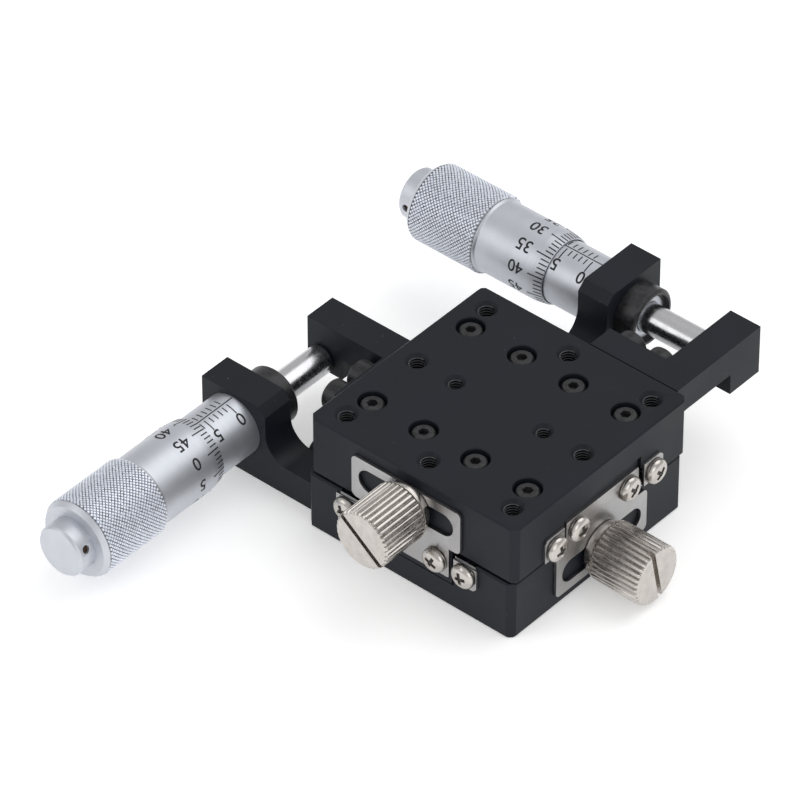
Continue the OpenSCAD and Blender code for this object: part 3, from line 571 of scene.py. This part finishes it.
@contextmanager
def edited(mesh):
    """A mesh's editable form, which is written back at the end"""
    work = bmesh.new()
    work.from_mesh(mesh)
    yield work
    work.to_mesh(mesh)
    work.free()


def recalculate(mesh):
    """Turns the faces of a closed mesh outward"""
    with edited(mesh) as work:
        bmesh.ops.recalc_face_normals(work, faces=work.faces)


def smooth(mesh, sharp=None):
    """Shades a mesh smooth, apart from edges where faces meet at more than an angle"""
    for polygon in mesh.polygons:
        polygon.use_smooth = True
    if sharp is not None:
        mesh.set_sharp_from_angle(angle=sharp)


def coat(mesh, *materials):
    """Gives a mesh these materials and no others"""
    mesh.materials.clear()
    for material in materials:
        mesh.materials.append(material)


def grown(name, seed, tree, material, values, place=Matrix.Identity(4)):
    """A seed mesh run through a geometry tree, as a plain mesh put in its place"""
    source = new_object(name + "_seed", seed)
    modifier = source.modifiers.new("tree", "NODES")
    modifier.node_group = tree
    for item in tree.interface.items_tree:
        if item.in_out != "INPUT" or item.name == "Geometry":
            continue
        modifier[item.identifier] = material if item.name == "Material" else values[item.name]
    mesh = evaluated_mesh(source)
    source.modifiers.remove(modifier)
    bpy.data.objects.remove(source)
    if not mesh.vertices:
        raise RuntimeError(f"{name} came out of its tree empty")
    mesh.transform(place)
    mesh.name = name
    made = new_object(name, mesh)
    recalculate(mesh)
    return made


def one_ring(around, start=0.0):
    """What the tree of rings is told for a single ring"""
    return {"Around": around, "Rows": 1, "Row Pitch": 0.0, "Half Steps": 0.0, "Start Angle": start}


def settled(piece):
    """Applies a piece's modifiers"""
    plain = evaluated_mesh(piece)
    piece.modifiers.clear()
    piece.data = plain


def cut_from(piece, cutter):
    """Cuts one closed object out of another"""
    cut = piece.modifiers.new("cut", "BOOLEAN")
    cut.operation = "DIFFERENCE"
    cut.solver = "EXACT"
    cut.object = cutter
    settled(piece)
    bpy.data.objects.remove(cutter)


def turned_body(rings, around):
    """A closed body about Z. A ring is a height and its radius, or the radii that repeat round it."""
    verts, faces = [], []
    for height, radii in rings:
        radii = radii if isinstance(radii, tuple) else (radii,)
        for i in range(around):
            angle = math.tau * i / around
            radius = radii[i % len(radii)]
            verts.append((radius * math.cos(angle), radius * math.sin(angle), height))
    for ring in range(len(rings) - 1):
        for i in range(around):
            a, b = ring * around + i, ring * around + (i + 1) % around
            faces.append((a, b, b + around, a + around))
    last = (len(rings) - 1) * around
    faces += [tuple(reversed(range(around))), tuple(range(last, last + around))]
    return verts, faces


def box_body(xs, ys, zs):
    """A closed box from its two ends along each axis"""
    return [(x, y, z) for x in xs for y in ys for z in zs], [
        (0, 1, 3, 2), (4, 6, 7, 5), (0, 4, 5, 1), (2, 3, 7, 6), (0, 2, 6, 4), (1, 5, 7, 3)]


def cross_body(rings):
    """A closed cross-shaped body about Z from rings of height, half length and half width"""
    verts, faces = [], []
    for height, long, wide in rings:
        verts += [(x, y, height) for x, y in (
            (long, -wide), (long, wide), (wide, wide), (wide, long), (-wide, long), (-wide, wide),
            (-long, wide), (-long, -wide), (-wide, -wide), (-wide, -long), (wide, -long), (wide, -wide))]
    for i in range(12):
        faces.append((i, (i + 1) % 12, 12 + (i + 1) % 12, 12 + i))
    faces += [tuple(reversed(range(12))), tuple(range(12, 24))]
    return verts, faces


def body_object(name, shape, sharp=None):
    """An object from corners and faces, shaded smooth if it has an angle for its sharp edges"""
    mesh = mesh_from(name, *shape)
    recalculate(mesh)
    if sharp is not None:
        smooth(mesh, sharp)
    return new_object(name, mesh)


def island_boxes(name):
    """Lowest and highest corner of each separate solid of a node"""
    work = bmesh.new()
    work.from_mesh(frame["nodes"][name].data)
    bmesh.ops.remove_doubles(work, verts=work.verts, dist=SAME_PLACE)
    left, boxes = set(work.verts), []
    while left:
        todo, found = [left.pop()], []
        while todo:
            vert = todo.pop()
            found.append(vert.co.copy())
            for edge in vert.link_edges:
                other = edge.other_vert(vert)
                if other in left:
                    left.remove(other)
                    todo.append(other)
        boxes.append((Vector([min(co[i] for co in found) for i in range(3)]),
                      Vector([max(co[i] for co in found) for i in range(3)])))
    work.free()
    return sorted(boxes, key=lambda box: tuple(box[0]))


def finish_piece(piece, body, material=None, replaces=()):
    """Gives a piece its material, the nodes that it stands for and the body it moves with"""
    if material:
        coat(piece.data, material)
    if replaces:
        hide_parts(*replaces)
    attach(piece, body)
    return piece


def dressed(name, material):
    """A copy of a node with rounded edges, which stands for it"""
    block = bpy.context.scene.stage_block
    mesh = frame["nodes"][name].data.copy()
    mesh.name = name + "_dressed"
    with edited(mesh) as work:
        bmesh.ops.remove_doubles(work, verts=work.verts, dist=SAME_PLACE)
        bmesh.ops.dissolve_limit(work, angle_limit=math.radians(0.3), verts=work.verts, edges=work.edges)
        # a face that runs round a hole is cut up before its edges are rounded
        bmesh.ops.triangulate(work, faces=[face for face in work.faces if len(face.verts) > 4])
    smooth(mesh)
    piece = new_object(name + "_dressed", mesh)
    bevel = piece.modifiers.new("edges", "BEVEL")
    bevel.width = block.edge
    bevel.segments = 2
    bevel.limit_method = "ANGLE"
    bevel.angle_limit = block.corner
    bevel.use_clamp_overlap = True
    weighted = piece.modifiers.new("flats", "WEIGHTED_NORMAL")
    weighted.weight = 100
    weighted.keep_sharp = False
    settled(piece)
    bpy.data.meshes.remove(mesh)
    return finish_piece(piece, BODY_OF[name], material, (name,))


def turned_to(across, up, axis):
    """Rotation whose X, Y and Z run along three directions"""
    return Matrix((across, up, axis)).transposed().to_4x4()


def facing(axis):
    """Rotation whose Z runs along a level direction and whose Y points up"""
    return turned_to(UP.cross(axis), UP, axis)


def dial_origin(head):
    """The point on a dial head's axis at its thimble's graduated edge"""
    return Vector(JOINTS[head["name"] + "_thimble_turn"]["pos_m"])


def dial_place(head):
    """Matrix of a dial head: its Z runs along the spindle and its Y away from the floor"""
    return Matrix.Translation(dial_origin(head)) @ facing(head["along"])


def outward(head, angle):
    """Away from a dial head's axis, at an angle from the top towards the side its figures face"""
    return UP * math.cos(angle) + head["side"] * math.sin(angle)


def round_point(head, radius, angle, station):
    """A point on a dial head, at a distance along the spindle from the graduated edge"""
    return dial_origin(head) + outward(head, angle) * radius + head["along"] * station


def curved_plate(head, radius_at, angle_from, angle_to, station_from, station_to, lift, cuts):
    """A closed thin plate that lies on a round surface, in a number of flat cuts"""
    verts, faces = [], []
    for i in range(cuts + 1):
        angle = angle_from + (angle_to - angle_from) * i / cuts
        for station in (station_from, station_to):
            base = radius_at(station)
            verts += [round_point(head, base - lift, angle, station),
                      round_point(head, base + lift, angle, station)]
    for i in range(cuts):
        a, b = 4 * i, 4 * i + 4
        faces += [(a, b, b + 1, a + 1), (a + 2, a + 3, b + 3, b + 2),
                  (a + 1, b + 1, b + 3, a + 3), (a, a + 2, b + 2, b)]
    last = 4 * cuts
    faces += [(0, 1, 3, 2), (last, last + 2, last + 3, last + 1)]
    return verts, faces


def joined(name, shapes):
    """One object from many closed shapes"""
    verts, faces = [], []
    for more_verts, more_faces in shapes:
        start = len(verts)
        verts += more_verts
        faces += [tuple(start + i for i in face) for face in more_faces]
    return body_object(name, (verts, faces))


def figure_mesh(text, height):
    """A figure as a flat mesh, centred, with short edges so that it can bend"""
    # share of the font's size that a figure is high, and share of a figure that an edge may be long
    figure_share, edge_share = 0.7, 0.14
    curve = bpy.data.curves.new("figure", "FONT")
    curve.body = text
    curve.align_x = "CENTER"
    curve.align_y = "CENTER"
    curve.resolution_u = 4
    holder = new_object("figure", curve)
    mesh = evaluated_mesh(holder)
    mesh.transform(Matrix.Scale(height / figure_share, 4))
    bpy.data.objects.remove(holder)
    bpy.data.curves.remove(curve)
    with edited(mesh) as work:
        bmesh.ops.remove_doubles(work, verts=work.verts, dist=2 * SAME_PLACE)
        for _ in range(4):
            long_edges = [edge for edge in work.edges if edge.calc_length() > height * edge_share]
            if not long_edges:
                break
            bmesh.ops.subdivide_edges(work, edges=long_edges, cuts=1)
            bmesh.ops.triangulate(work, faces=work.faces)
    return mesh


def figure_on(head, text, height, radius_at, angle, station, lift):
    """A figure wrapped on a dial head. It reads from the spindle's end towards the knob. Four copies,
    each shifted a little and a little thicker than the one before, make its strokes bolder."""
    flat = figure_mesh(text, height)
    bold = bpy.context.scene.stage_dial.figure_bold
    count = len(flat.vertices)
    faces = []
    edge_use = {}
    for polygon in flat.polygons:
        corners = list(polygon.vertices)
        faces += [tuple(corners), tuple(count + i for i in reversed(corners))]
        for a, b in zip(corners, corners[1:] + corners[:1]):
            edge_use.setdefault(frozenset((a, b)), []).append((a, b))
    # an edge that only one face uses is the outline, which gets a side
    for pairs in edge_use.values():
        if len(pairs) == 1:
            a, b = pairs[0]
            faces.append((b, a, count + a, count + b))
    shapes = []
    for rise, (along, round_it) in enumerate(((1, 0), (-1, 0), (0, 1), (0, -1))):
        verts = []
        for level in (-lift, lift * (1 + rise / 20)):
            for vertex in flat.vertices:
                at = station - vertex.co.x + along * bold
                radius = radius_at(at)
                turn = angle + (vertex.co.y + round_it * bold) / radius
                verts.append(round_point(head, radius + level, turn, at))
        shapes.append((verts, faces))
    bpy.data.meshes.remove(flat)
    return shapes


def thimble_radius(station):
    """Radius of the thimble at a station behind its edge, which is negative"""
    dial = bpy.context.scene.stage_dial
    share = min(1.0, max(0.0, -station / dial.bevel_len))
    return (dial.edge_d + (dial.barrel_d - dial.edge_d) * share) / 2


# Operators
class STAGE_OT_machined(bpy.types.Operator):
    """Dress the black anodised blocks, holders and brackets"""

    bl_idname = "stage.machined"
    bl_label = "Machined blocks"

    def execute(self, context):
        for name in ANODISED:
            dressed(name, anodised())
        return {"FINISHED"}


class STAGE_OT_screws(bpy.types.Operator):
    """Dress the black screws and clamp nuts"""

    bl_idname = "stage.screws"
    bl_label = "Black screws and nuts"

    def execute(self, context):
        for name in BLACK_SCREWS + BLACK_NUTS:
            dressed(name, black_oxide())
        return {"FINISHED"}


class STAGE_OT_plates(bpy.types.Operator):
    """Dress the lock plates, end tabs and washers"""

    bl_idname = "stage.plates"
    bl_label = "Plates and washers"

    def execute(self, context):
        for name in PLATES:
            dressed(name, nickel_plate())
        for name in WASHERS:
            dressed(name, nickel_turned())
        return {"FINISHED"}


class STAGE_OT_plated_screws(bpy.types.Operator):
    """Make the domed cross-recess screws of the plates and tabs"""

    bl_idname = "stage.plated_screws"
    bl_label = "Plated screws"

    def execute(self, context):
        lock = context.scene.stage_lock
        screw, fill = self.screw_and_fill(lock)
        # the dark cross in each recess is painted shade
        dark = grooves("recess_dark", context.scene.stage_colour.turned, 0.10)
        for name in PAN_SCREWS:
            points, angles = self.seats(name, lock)
            for part, material in ((screw, nickel_turned()), (fill, dark)):
                seed = mesh_from(name, points)
                turn = seed.attributes.new("turn", "FLOAT_VECTOR", "POINT")
                for at, angle in enumerate(angles):
                    turn.data[at].vector = angle
                piece = grown(f"{name}_{part.name}s", seed, points_tree(), material, {"Copy": part})
                finish_piece(piece, BODY_OF[name], replaces=(name,) if part is screw else ())
        for part in (screw, fill):
            bpy.data.objects.remove(part)
        return {"FINISHED"}

    def screw_and_fill(self, lock):
        """One screw with its recess, and the dark body that lies in the recess as painted shade"""
        # the dome as shares of the head's radius and height
        dome = ((0.90, 0.0), (1.0, 0.10), (1.0, 0.36), (0.96, 0.56), (0.86, 0.74), (0.70, 0.87),
                (0.48, 0.96), (0.2, 1.0))
        rings = [(-lock.shank, lock.shank_r), (0, lock.shank_r)]
        rings += [(h * lock.head_h, r * lock.head_r) for r, h in dome]
        screw = body_object("pan_screw", turned_body(rings, 40))
        # the recess narrows towards its foot
        foot, foot_l, foot_w = lock.head_h - lock.cross_deep, lock.cross_l * 0.45, lock.cross_w * 0.8
        over = lock.head_h + lock.cross_deep * 0.1
        cut_from(screw, body_object("cross", cross_body([(foot, foot_l, foot_w),
                                                         (over, lock.cross_l, lock.cross_w)])))
        smooth(screw.data, math.radians(34))
        fill = body_object("recess", cross_body([(foot * 0.8, foot_l, foot_w),
                                                 (foot + lock.cross_deep * 0.72, lock.cross_l * 0.86,
                                                  lock.cross_w * 0.95)]))
        return screw, fill

    def seats(self, name, lock):
        """Where each screw of a node sits and how it is turned"""
        # how far the crosses stand round, in radians
        turns = (0.35, 1.15, 0.2, 0.8)
        points, angles = [], []
        for at, (low, high) in enumerate(island_boxes(name)):
            middle, size = (low + high) / 2, high - low
            axis = Vector((1, 0, 0)) if size.x > size.y else Vector((0, 1, 0))
            axis = axis if middle.dot(axis) > 0 else -axis
            points.append(middle + axis * (max(size.x, size.y) / 2 - lock.seat_h))
            angles.append((facing(axis) @ Matrix.Rotation(turns[at % len(turns)], 4, "Z")).to_euler())
        return points, angles


class STAGE_OT_lock_knobs(bpy.types.Operator):
    """Make the lock knobs: a ridged barrel with a coin slot and its stud"""

    bl_idname = "stage.lock_knobs"
    bl_label = "Lock knobs"

    def execute(self, context):
        lock = context.scene.stage_lock
        dark = grooves("knob_grooves", context.scene.stage_colour.turned, 0.70)
        # height of the surface at points from one ridge to the next, as a share of the groove
        heights = (1.0, 0.99, 0.86, 0.3, 0.0, 0.0, 0.3, 0.86, 0.99, 1.0)
        root, step = lock.knob_r - lock.groove, lock.rim / 2

        def ridged(share):
            return tuple(root + lock.groove * share * height for height in heights)

        collar, front, collar_r = lock.collar, lock.length - lock.rim, lock.knob_r - lock.groove * 0.28
        rings = [(-lock.stud, lock.stud_r), (0, lock.stud_r), (0, collar_r - step / 2), (step / 2, collar_r),
                 (collar - step / 2, collar_r), (collar, root), (collar + step / 4, ridged(0.5)),
                 (collar + step * 1.4, ridged(1.0)), (front, ridged(1.0)),
                 (lock.length - step / 3, ridged(0.25)), (lock.length, root - step / 4)]
        for name, (across, up, axis, slot_turn) in LOCKS.items():
            knob = body_object(name + "_made", turned_body(rings, lock.ridges * len(heights)),
                               math.radians(30))
            coat(knob.data, nickel_turned(), dark)
            # faces at the bottom of the grooves get the darker nickel as painted shade
            for polygon in knob.data.polygons:
                x, y, z = polygon.center
                if collar < z < front:
                    polygon.material_index = int(math.hypot(x, y) < root + lock.groove * 0.25)
            slot = body_object("slot", box_body(
                (-2 * lock.knob_r, 2 * lock.knob_r), (-lock.slot_w / 2, lock.slot_w / 2),
                (lock.length - lock.slot_deep, lock.length + lock.slot_deep)))
            slot.data.transform(Matrix.Rotation(slot_turn, 4, "Z"))
            cut_from(knob, slot)
            low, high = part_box(name)
            reach = abs((high - low).dot(axis)) / 2
            origin = (low + high) / 2 + axis * (reach - lock.length)
            knob.data.transform(Matrix.Translation(origin) @ turned_to(across, up, axis))
            finish_piece(knob, BODY_OF[name], replaces=(name,))
        return {"FINISHED"}


class STAGE_OT_ways(bpy.types.Operator):
    """Finish the rails, rollers, cages, pins and springs"""

    bl_idname = "stage.ways"
    bl_label = "Ways"

    def execute(self, context):
        for names, material in ((GROUND_STEEL, ground_steel()), (CAGES, rolled_brass())):
            for name in names:
                coat(frame["nodes"][name].data, material)
        for name, (low_body, high_body, along) in SPRINGS.items():
            wire = new_object(name + "_wire", frame["nodes"][name].data.copy())
            coat(wire.data, ground_steel())
            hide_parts(name)
            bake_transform(wire)
        return {"FINISHED"}


class STAGE_OT_heads(bpy.types.Operator):
    """Dress the sleeves, thimble caps and spindles"""

    bl_idname = "stage.heads"
    bl_label = "Sleeves and spindles"

    def execute(self, context):
        for name in CHROMED:
            dressed(name, satin_chrome(Y_HEAD if name.startswith("y") else X_HEAD))
        for name in POLISHED:
            dressed(name, polished_steel())
        dial = context.scene.stage_dial
        # a dark plug at the bottom of each cap's pin hole is painted shade
        dark = grooves("hole_dark", context.scene.stage_colour.hole, 1.0)
        rings = [(-dial.hole_r / 2, dial.hole_r), (dial.hole_deep / 2, dial.hole_r)]
        for head in HEADS:
            turn = head["hole_turn"]
            low = round_point(head, dial.cap_r - dial.hole_deep, turn, -dial.hole_at)
            turned = outward(head, turn).to_track_quat("Z", "Y").to_matrix().to_4x4()
            plug = body_object(head["name"] + "_cap_hole", turned_body(rings, 24))
            plug.data.transform(Matrix.Translation(low) @ turned)
            finish_piece(plug, BODY_OF[head["name"] + "_thimble_cap"], dark)
        return {"FINISHED"}


class STAGE_OT_thimbles(bpy.types.Operator):
    """Make the thimbles: a turned body with a diamond knurl"""

    bl_idname = "stage.thimbles"
    bl_label = "Thimbles"

    def execute(self, context):
        dial, knurl = context.scene.stage_dial, context.scene.stage_knurl
        for head in HEADS:
            self.body(head, dial, knurl)
            self.knurl_points(head, knurl)
        return {"FINISHED"}

    def body(self, head, dial, knurl):
        """The thimble under its knurl, bored from the graduated edge"""
        root, barrel = knurl.knurl_d / 2 - knurl.depth, dial.barrel_d / 2
        rim, bore, hub = 0.5 * MM, 5.4 * MM, 2.05 * MM
        rear, bore_deep, ease = 26.8 * MM, 21.0 * MM, 0.12 * MM
        rear_r = knurl.knurl_d / 2 - 0.6 * MM
        outline = [(bore, 0), (dial.edge_d / 2 - ease / 2, 0), (dial.edge_d / 2, -ease / 2),
                   (barrel - ease / 8, -dial.bevel_len + ease), (barrel, -dial.bevel_len - ease),
                   (barrel, -knurl.start + rim), (barrel + ease, -knurl.start + rim - ease),
                   (root, -knurl.start), (root, -knurl.end), (knurl.knurl_d / 2 - ease, -knurl.end),
                   (rear_r, -rear + ease), (rear_r - ease, -rear), (hub, -rear), (hub, -bore_deep),
                   (bore, -bore_deep)]
        around, last = 96, len(outline)
        verts = [round_point(head, radius, math.tau * i / around, station)
                 for radius, station in outline for i in range(around)]
        faces = [(r * around + i, r * around + (i + 1) % around, (r + 1) % last * around + (i + 1) % around,
                  (r + 1) % last * around + i)
                 for r in range(last) for i in range(around)]
        name = head["name"] + "_thimble"
        piece = body_object(name + "_body", (verts, faces), math.radians(28))
        coat(piece.data, satin_chrome(head), grooves("knurl_grooves", bpy.context.scene.stage_colour.chrome,
                                                     0.42))
        # the long faces between the knurl's points lie in its shadow, so the darker chrome on them is painted
        # shade
        for polygon in piece.data.polygons:
            station = (polygon.center - dial_origin(head)).dot(head["along"])
            if -knurl.end < station < -knurl.start and polygon.area > root * ease:
                polygon.material_index = 1
        finish_piece(piece, head["thimble"], replaces=(name,))

    def knurl_points(self, head, knurl):
        """Four-sided points in staggered rows, each a dull flank with a tip on it that is brighter as a painted
        highlight
        """
        root, crown = knurl.knurl_d / 2 - knurl.depth, knurl.knurl_d / 2
        half_l = (knurl.end - knurl.start) / (knurl.rows + 1)
        half_w, sunk = math.pi * knurl.knurl_d / 2 / knurl.around * knurl.fill, knurl.depth / 12
        foot_l = half_l * knurl.fill
        corners = ((half_w, 0), (0, foot_l), (-half_w, 0), (0, -foot_l))
        sides = [(i, (i + 1) % 4, 4 + (i + 1) % 4, 4 + i) for i in range(4)] + [(3, 2, 1, 0), (4, 5, 6, 7)]
        place = dial_place(head) @ Matrix.Translation((0, 0, -knurl.end + half_l))
        values = {"Around": knurl.around, "Rows": knurl.rows, "Row Pitch": half_l, "Half Steps": 1.0,
                  "Start Angle": 0.0}
        dull = grooves("knurl_flanks", bpy.context.scene.stage_colour.chrome, 1.32)
        name = head["name"] + "_thimble"
        for part, material, levels in (
                ("knurl", dull, ((root - sunk, 1.0), (crown - sunk, knurl.tip))),
                ("knurl_tips", knurl_chrome(), ((crown - 2 * sunk, knurl.tip), (crown, knurl.tip * 0.8)))):
            shape = [(radius, y * share, z * share) for radius, share in levels for y, z in corners]
            points = grown(f"{name}_{part}", mesh_from("point", shape, sides), grid_tree(), material, values,
                           place)
            finish_piece(points, head["thimble"])


class STAGE_OT_markings(bpy.types.Operator):
    """Lay the lines and figures on the sleeves and thimbles"""

    bl_idname = "stage.markings"
    bl_label = "Lines and figures"

    def execute(self, context):
        dial = context.scene.stage_dial
        for head in HEADS:
            self.thimble_lines(dial, head)
            self.thimble_figures(dial, head)
            self.sleeve_marks(dial, head)
        return {"FINISHED"}

    def thimble_lines(self, dial, head):
        """Fifty lines on the cone, every fifth one longer"""
        slope = Matrix.Rotation(-math.atan2((dial.barrel_d - dial.edge_d) / 2, dial.bevel_len), 4, "Y")
        for label, length, count in (("short", dial.short_line, dial.divisions),
                                     ("long", dial.long_line, dial.divisions // 5)):
            seed = mesh_from("line", *box_body((-dial.line_lift, dial.line_lift),
                                               (-dial.line_w / 2, dial.line_w / 2),
                                               (-length, -dial.line_gap)))
            seed.transform(Matrix.Translation((dial.edge_d / 2, 0, 0)) @ slope)
            piece = grown(f"{head['name']}_thimble_{label}_lines", seed, grid_tree(), line_ink(),
                          one_ring(count, self.first_line(head, dial)), dial_place(head))
            finish_piece(piece, head["thimble"])

    def value_angle(self, head, dial, value):
        """Angle of a thimble value, from the top towards the side that the figures face"""
        at_top = head["reading"] % TURN_TRAVEL / TURN_TRAVEL * dial.divisions
        return (value - at_top) * math.tau / dial.divisions

    def first_line(self, head, dial):
        """The zero line's angle about the dial's own Z axis, from its X axis"""
        spot = dial_place(head).inverted() @ round_point(head, 1.0, self.value_angle(head, dial, 0), 0)
        return math.atan2(spot.y, spot.x)

    def thimble_figures(self, dial, head):
        shapes = []
        for value in range(0, dial.divisions, 5):
            shapes += figure_on(head, str(value), dial.figure_h, thimble_radius,
                                self.value_angle(head, dial, value), -dial.long_line - dial.figure_back,
                                dial.line_lift)
        finish_piece(joined(f"{head['name']}_thimble_figures", shapes), head["thimble"],
                     line_ink())

    def sleeve_marks(self, dial, head):
        """A datum line along the top, millimetres on the near side and halves on the far side"""
        # stations of the zero line and of the datum line's end, from the thimble's edge
        zero = head["reading"] * MM
        end = zero + dial.zero_at - dial.datum_gap
        half_line = dial.line_w / 2
        half_angle = half_line / dial.sleeve_r

        def flat(_station):
            return dial.sleeve_r

        def ring(station, angle_from, angle_to):
            return curved_plate(head, flat, angle_from, angle_to, station - half_line, station + half_line,
                                dial.line_lift, cuts=8)

        shapes = [curved_plate(head, flat, -half_angle, half_angle, zero - dial.travel * MM, end,
                               dial.line_lift, cuts=2)]
        for mark in range(dial.travel + 1):
            station = zero - mark * MM
            long_mark = mark % 5 == 0
            shapes.append(ring(station, dial.mark_from, dial.long_mark if long_mark else dial.short_mark))
            if mark < dial.travel:
                shapes.append(ring(station - TURN_TRAVEL * MM, -dial.half_mark, -dial.half_from))
            if long_mark:
                shapes += figure_on(head, str(mark), dial.figure_h, flat, dial.figure_at, station,
                                    dial.line_lift)
        finish_piece(joined(head["name"] + "_sleeve_marks", shapes), head["sleeve"], line_ink())


class STAGE_OT_threads(bpy.types.Operator):
    """Cut the threads in the tapped holes of the table"""

    bl_idname = "stage.threads"
    bl_label = "Tapped holes"

    def execute(self, context):
        block = context.scene.stage_block
        low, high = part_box("table_block")
        centre = Vector(((low.x + high.x) / 2, (low.y + high.y) / 2, high.z))
        pitch, pair_at = block.grid_pitch, block.pair_at
        grid = [(x * pitch, y * pitch) for x in (-1, 0, 1) for y in (-1, 0, 1) if x or y]
        for name, places, radius, deep in (
                ("m3_threads", grid, block.grid_r, block.grid_deep),
                ("m25_threads", [(-pair_at, 0), (pair_at, 0)], block.pair_r, block.pair_deep)):
            seed = mesh_from(name, [centre + Vector((x, y, -deep)) for x, y in places])
            # the thread ends one pitch below the hole's mouth
            values = {"Radius": radius, "Pitch": block.thread_pitch, "Depth": deep - block.thread_pitch,
                      "Ridge": block.thread_deep / 2}
            piece = grown(name, seed, thread_tree(), bare_thread(), values)
            smooth(piece.data)
            finish_piece(piece, "table")
        return {"FINISHED"}


class STAGE_OT_head_knurls(bpy.types.Operator):
    """Put the straight knurl on the heads of the bracket and holder screws"""

    bl_idname = "stage.head_knurls"
    bl_label = "Screw head knurls"

    def execute(self, context):
        socket = context.scene.stage_socket
        foot, top = socket.head_r - socket.ridge, socket.head_r + socket.ridge * 0.4
        verts = [(x, y, z) for z in (socket.foot_gap, socket.head_h - socket.top_gap)
                 for x, y in ((foot, -socket.ridge), (top, 0), (foot, socket.ridge))]
        faces = [(0, 2, 1), (3, 4, 5), (0, 1, 4, 3), (1, 2, 5, 4), (2, 0, 3, 5)]
        for name in ("y_holder_screws", "x_holder_screws", "y_bracket_screws", "x_bracket_screws"):
            low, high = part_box(name)
            level = (low.z + high.z) / 2
            if name.startswith("y"):
                axis = Vector((1, 0, 0))
                centres = [(low.x, y, level) for y in (low.y + socket.head_r, high.y - socket.head_r)]
            else:
                axis = Vector((0, -1, 0))
                centres = [(x, high.y, level) for x in (low.x + socket.head_r, high.x - socket.head_r)]
            for at, centre in enumerate(centres):
                place = Matrix.Translation(centre) @ facing(axis)
                piece = grown(f"{name}_knurl_{at}", mesh_from("ridge", verts, faces), grid_tree(),
                              black_oxide(), one_ring(socket.ridges), place)
                finish_piece(piece, BODY_OF[name])
        return {"FINISHED"}


class STAGE_OT_studio(bpy.types.Operator):
    """Set up the floor, the lights and the camera"""

    bl_idname = "stage.studio"
    bl_label = "Studio"

    def execute(self, context):
        studio = context.scene.stage_studio
        self.floor(studio)
        self.world(studio)
        for name, offset, size, power in LIGHTS:
            self.area(name, CENTRE + Vector(offset), size, power)
        self.camera(context, studio)
        context.scene.view_settings.view_transform = "Standard"
        return {"FINISHED"}

    def floor(self, studio):
        size = studio.floor_half
        mesh = mesh_from("floor", [(-size, -size, 0), (size, -size, 0), (size, size, 0), (-size, size, 0)],
                         [(0, 1, 2, 3)])
        material = finish("pale_floor", studio.floor, metallic=0.0, roughness=0.9, specular=0.2,
                          cloud=(3, 2), shades=(0.99, 1))
        sockets = material.node_tree.nodes["Principled BSDF"].inputs
        sockets["Emission Color"].default_value = (1, 1, 1, 1)
        sockets["Emission Strength"].default_value = studio.glow
        coat(mesh, material)
        new_object("floor", mesh)

    def world(self, studio):
        world = bpy.data.worlds.new("studio")
        bpy.context.scene.world = world
        world.use_nodes = True
        background = world.node_tree.nodes["Background"]
        background.inputs["Color"].default_value = (1, 1, 1, 1)
        background.inputs["Strength"].default_value = studio.sky

    def area(self, name, place, size, power):
        """A square light that points at the middle of the stage"""
        light = bpy.data.lights.new(name, "AREA")
        light.shape = "SQUARE"
        light.size = size
        light.energy = power
        lamp = new_object(name, light)
        lamp.location = place
        lamp.rotation_euler = (CENTRE - place).to_track_quat("-Z", "Y").to_euler()

    def camera(self, context, studio):
        """The camera looks past its aim by the two slides"""
        a, e = studio.azimuth, studio.elevation
        back = Vector((math.sin(a) * math.cos(e), -math.cos(a) * math.cos(e), math.sin(e)))
        right = Vector((math.cos(a), math.sin(a), 0))
        up = back.cross(right)
        data = bpy.data.cameras.new("camera")
        data.lens = studio.lens
        data.sensor_width = studio.sensor
        data.clip_end = studio.reach
        camera = new_object("camera", data)
        place = AIM + back * studio.distance - right * studio.slide_right - up * studio.slide_up
        camera.matrix_world = Matrix.Translation(place) @ turned_to(right, up, back)
        context.scene.camera = camera


OPERATORS = (STAGE_OT_machined, STAGE_OT_screws, STAGE_OT_plates, STAGE_OT_plated_screws,
             STAGE_OT_lock_knobs, STAGE_OT_ways, STAGE_OT_heads, STAGE_OT_thimbles, STAGE_OT_markings,
             STAGE_OT_threads, STAGE_OT_head_knurls, STAGE_OT_studio)


class STAGE_PT_panel(bpy.types.Panel):
    """Lists the pieces of the stage"""

    bl_label = "Microscope stage"
    bl_idname = "STAGE_PT_panel"
    bl_space_type = "VIEW_3D"
    bl_region_type = "UI"
    bl_category = "Stage"

    def draw(self, context):
        for kind in OPERATORS:
            self.layout.operator(kind.bl_idname)
        for name, kind in SETTINGS.items():
            box = self.layout.box()
            for field in kind.__annotations__:
                box.prop(getattr(context.scene, name), field)


def register():
    for kind in (*SETTINGS.values(), *OPERATORS, STAGE_PT_panel):
        bpy.utils.register_class(kind)
    for name, kind in SETTINGS.items():
        setattr(bpy.types.Scene, name, PointerProperty(type=kind))


def unregister():
    for name in SETTINGS:
        delattr(bpy.types.Scene, name)
    for kind in reversed((*SETTINGS.values(), *OPERATORS, STAGE_PT_panel)):
        bpy.utils.unregister_class(kind)


def main():
    register()
    for kind in OPERATORS:
        group, call = kind.bl_idname.split(".")
        getattr(getattr(bpy.ops, group), call)()


if __name__ == "__main__":
    main()
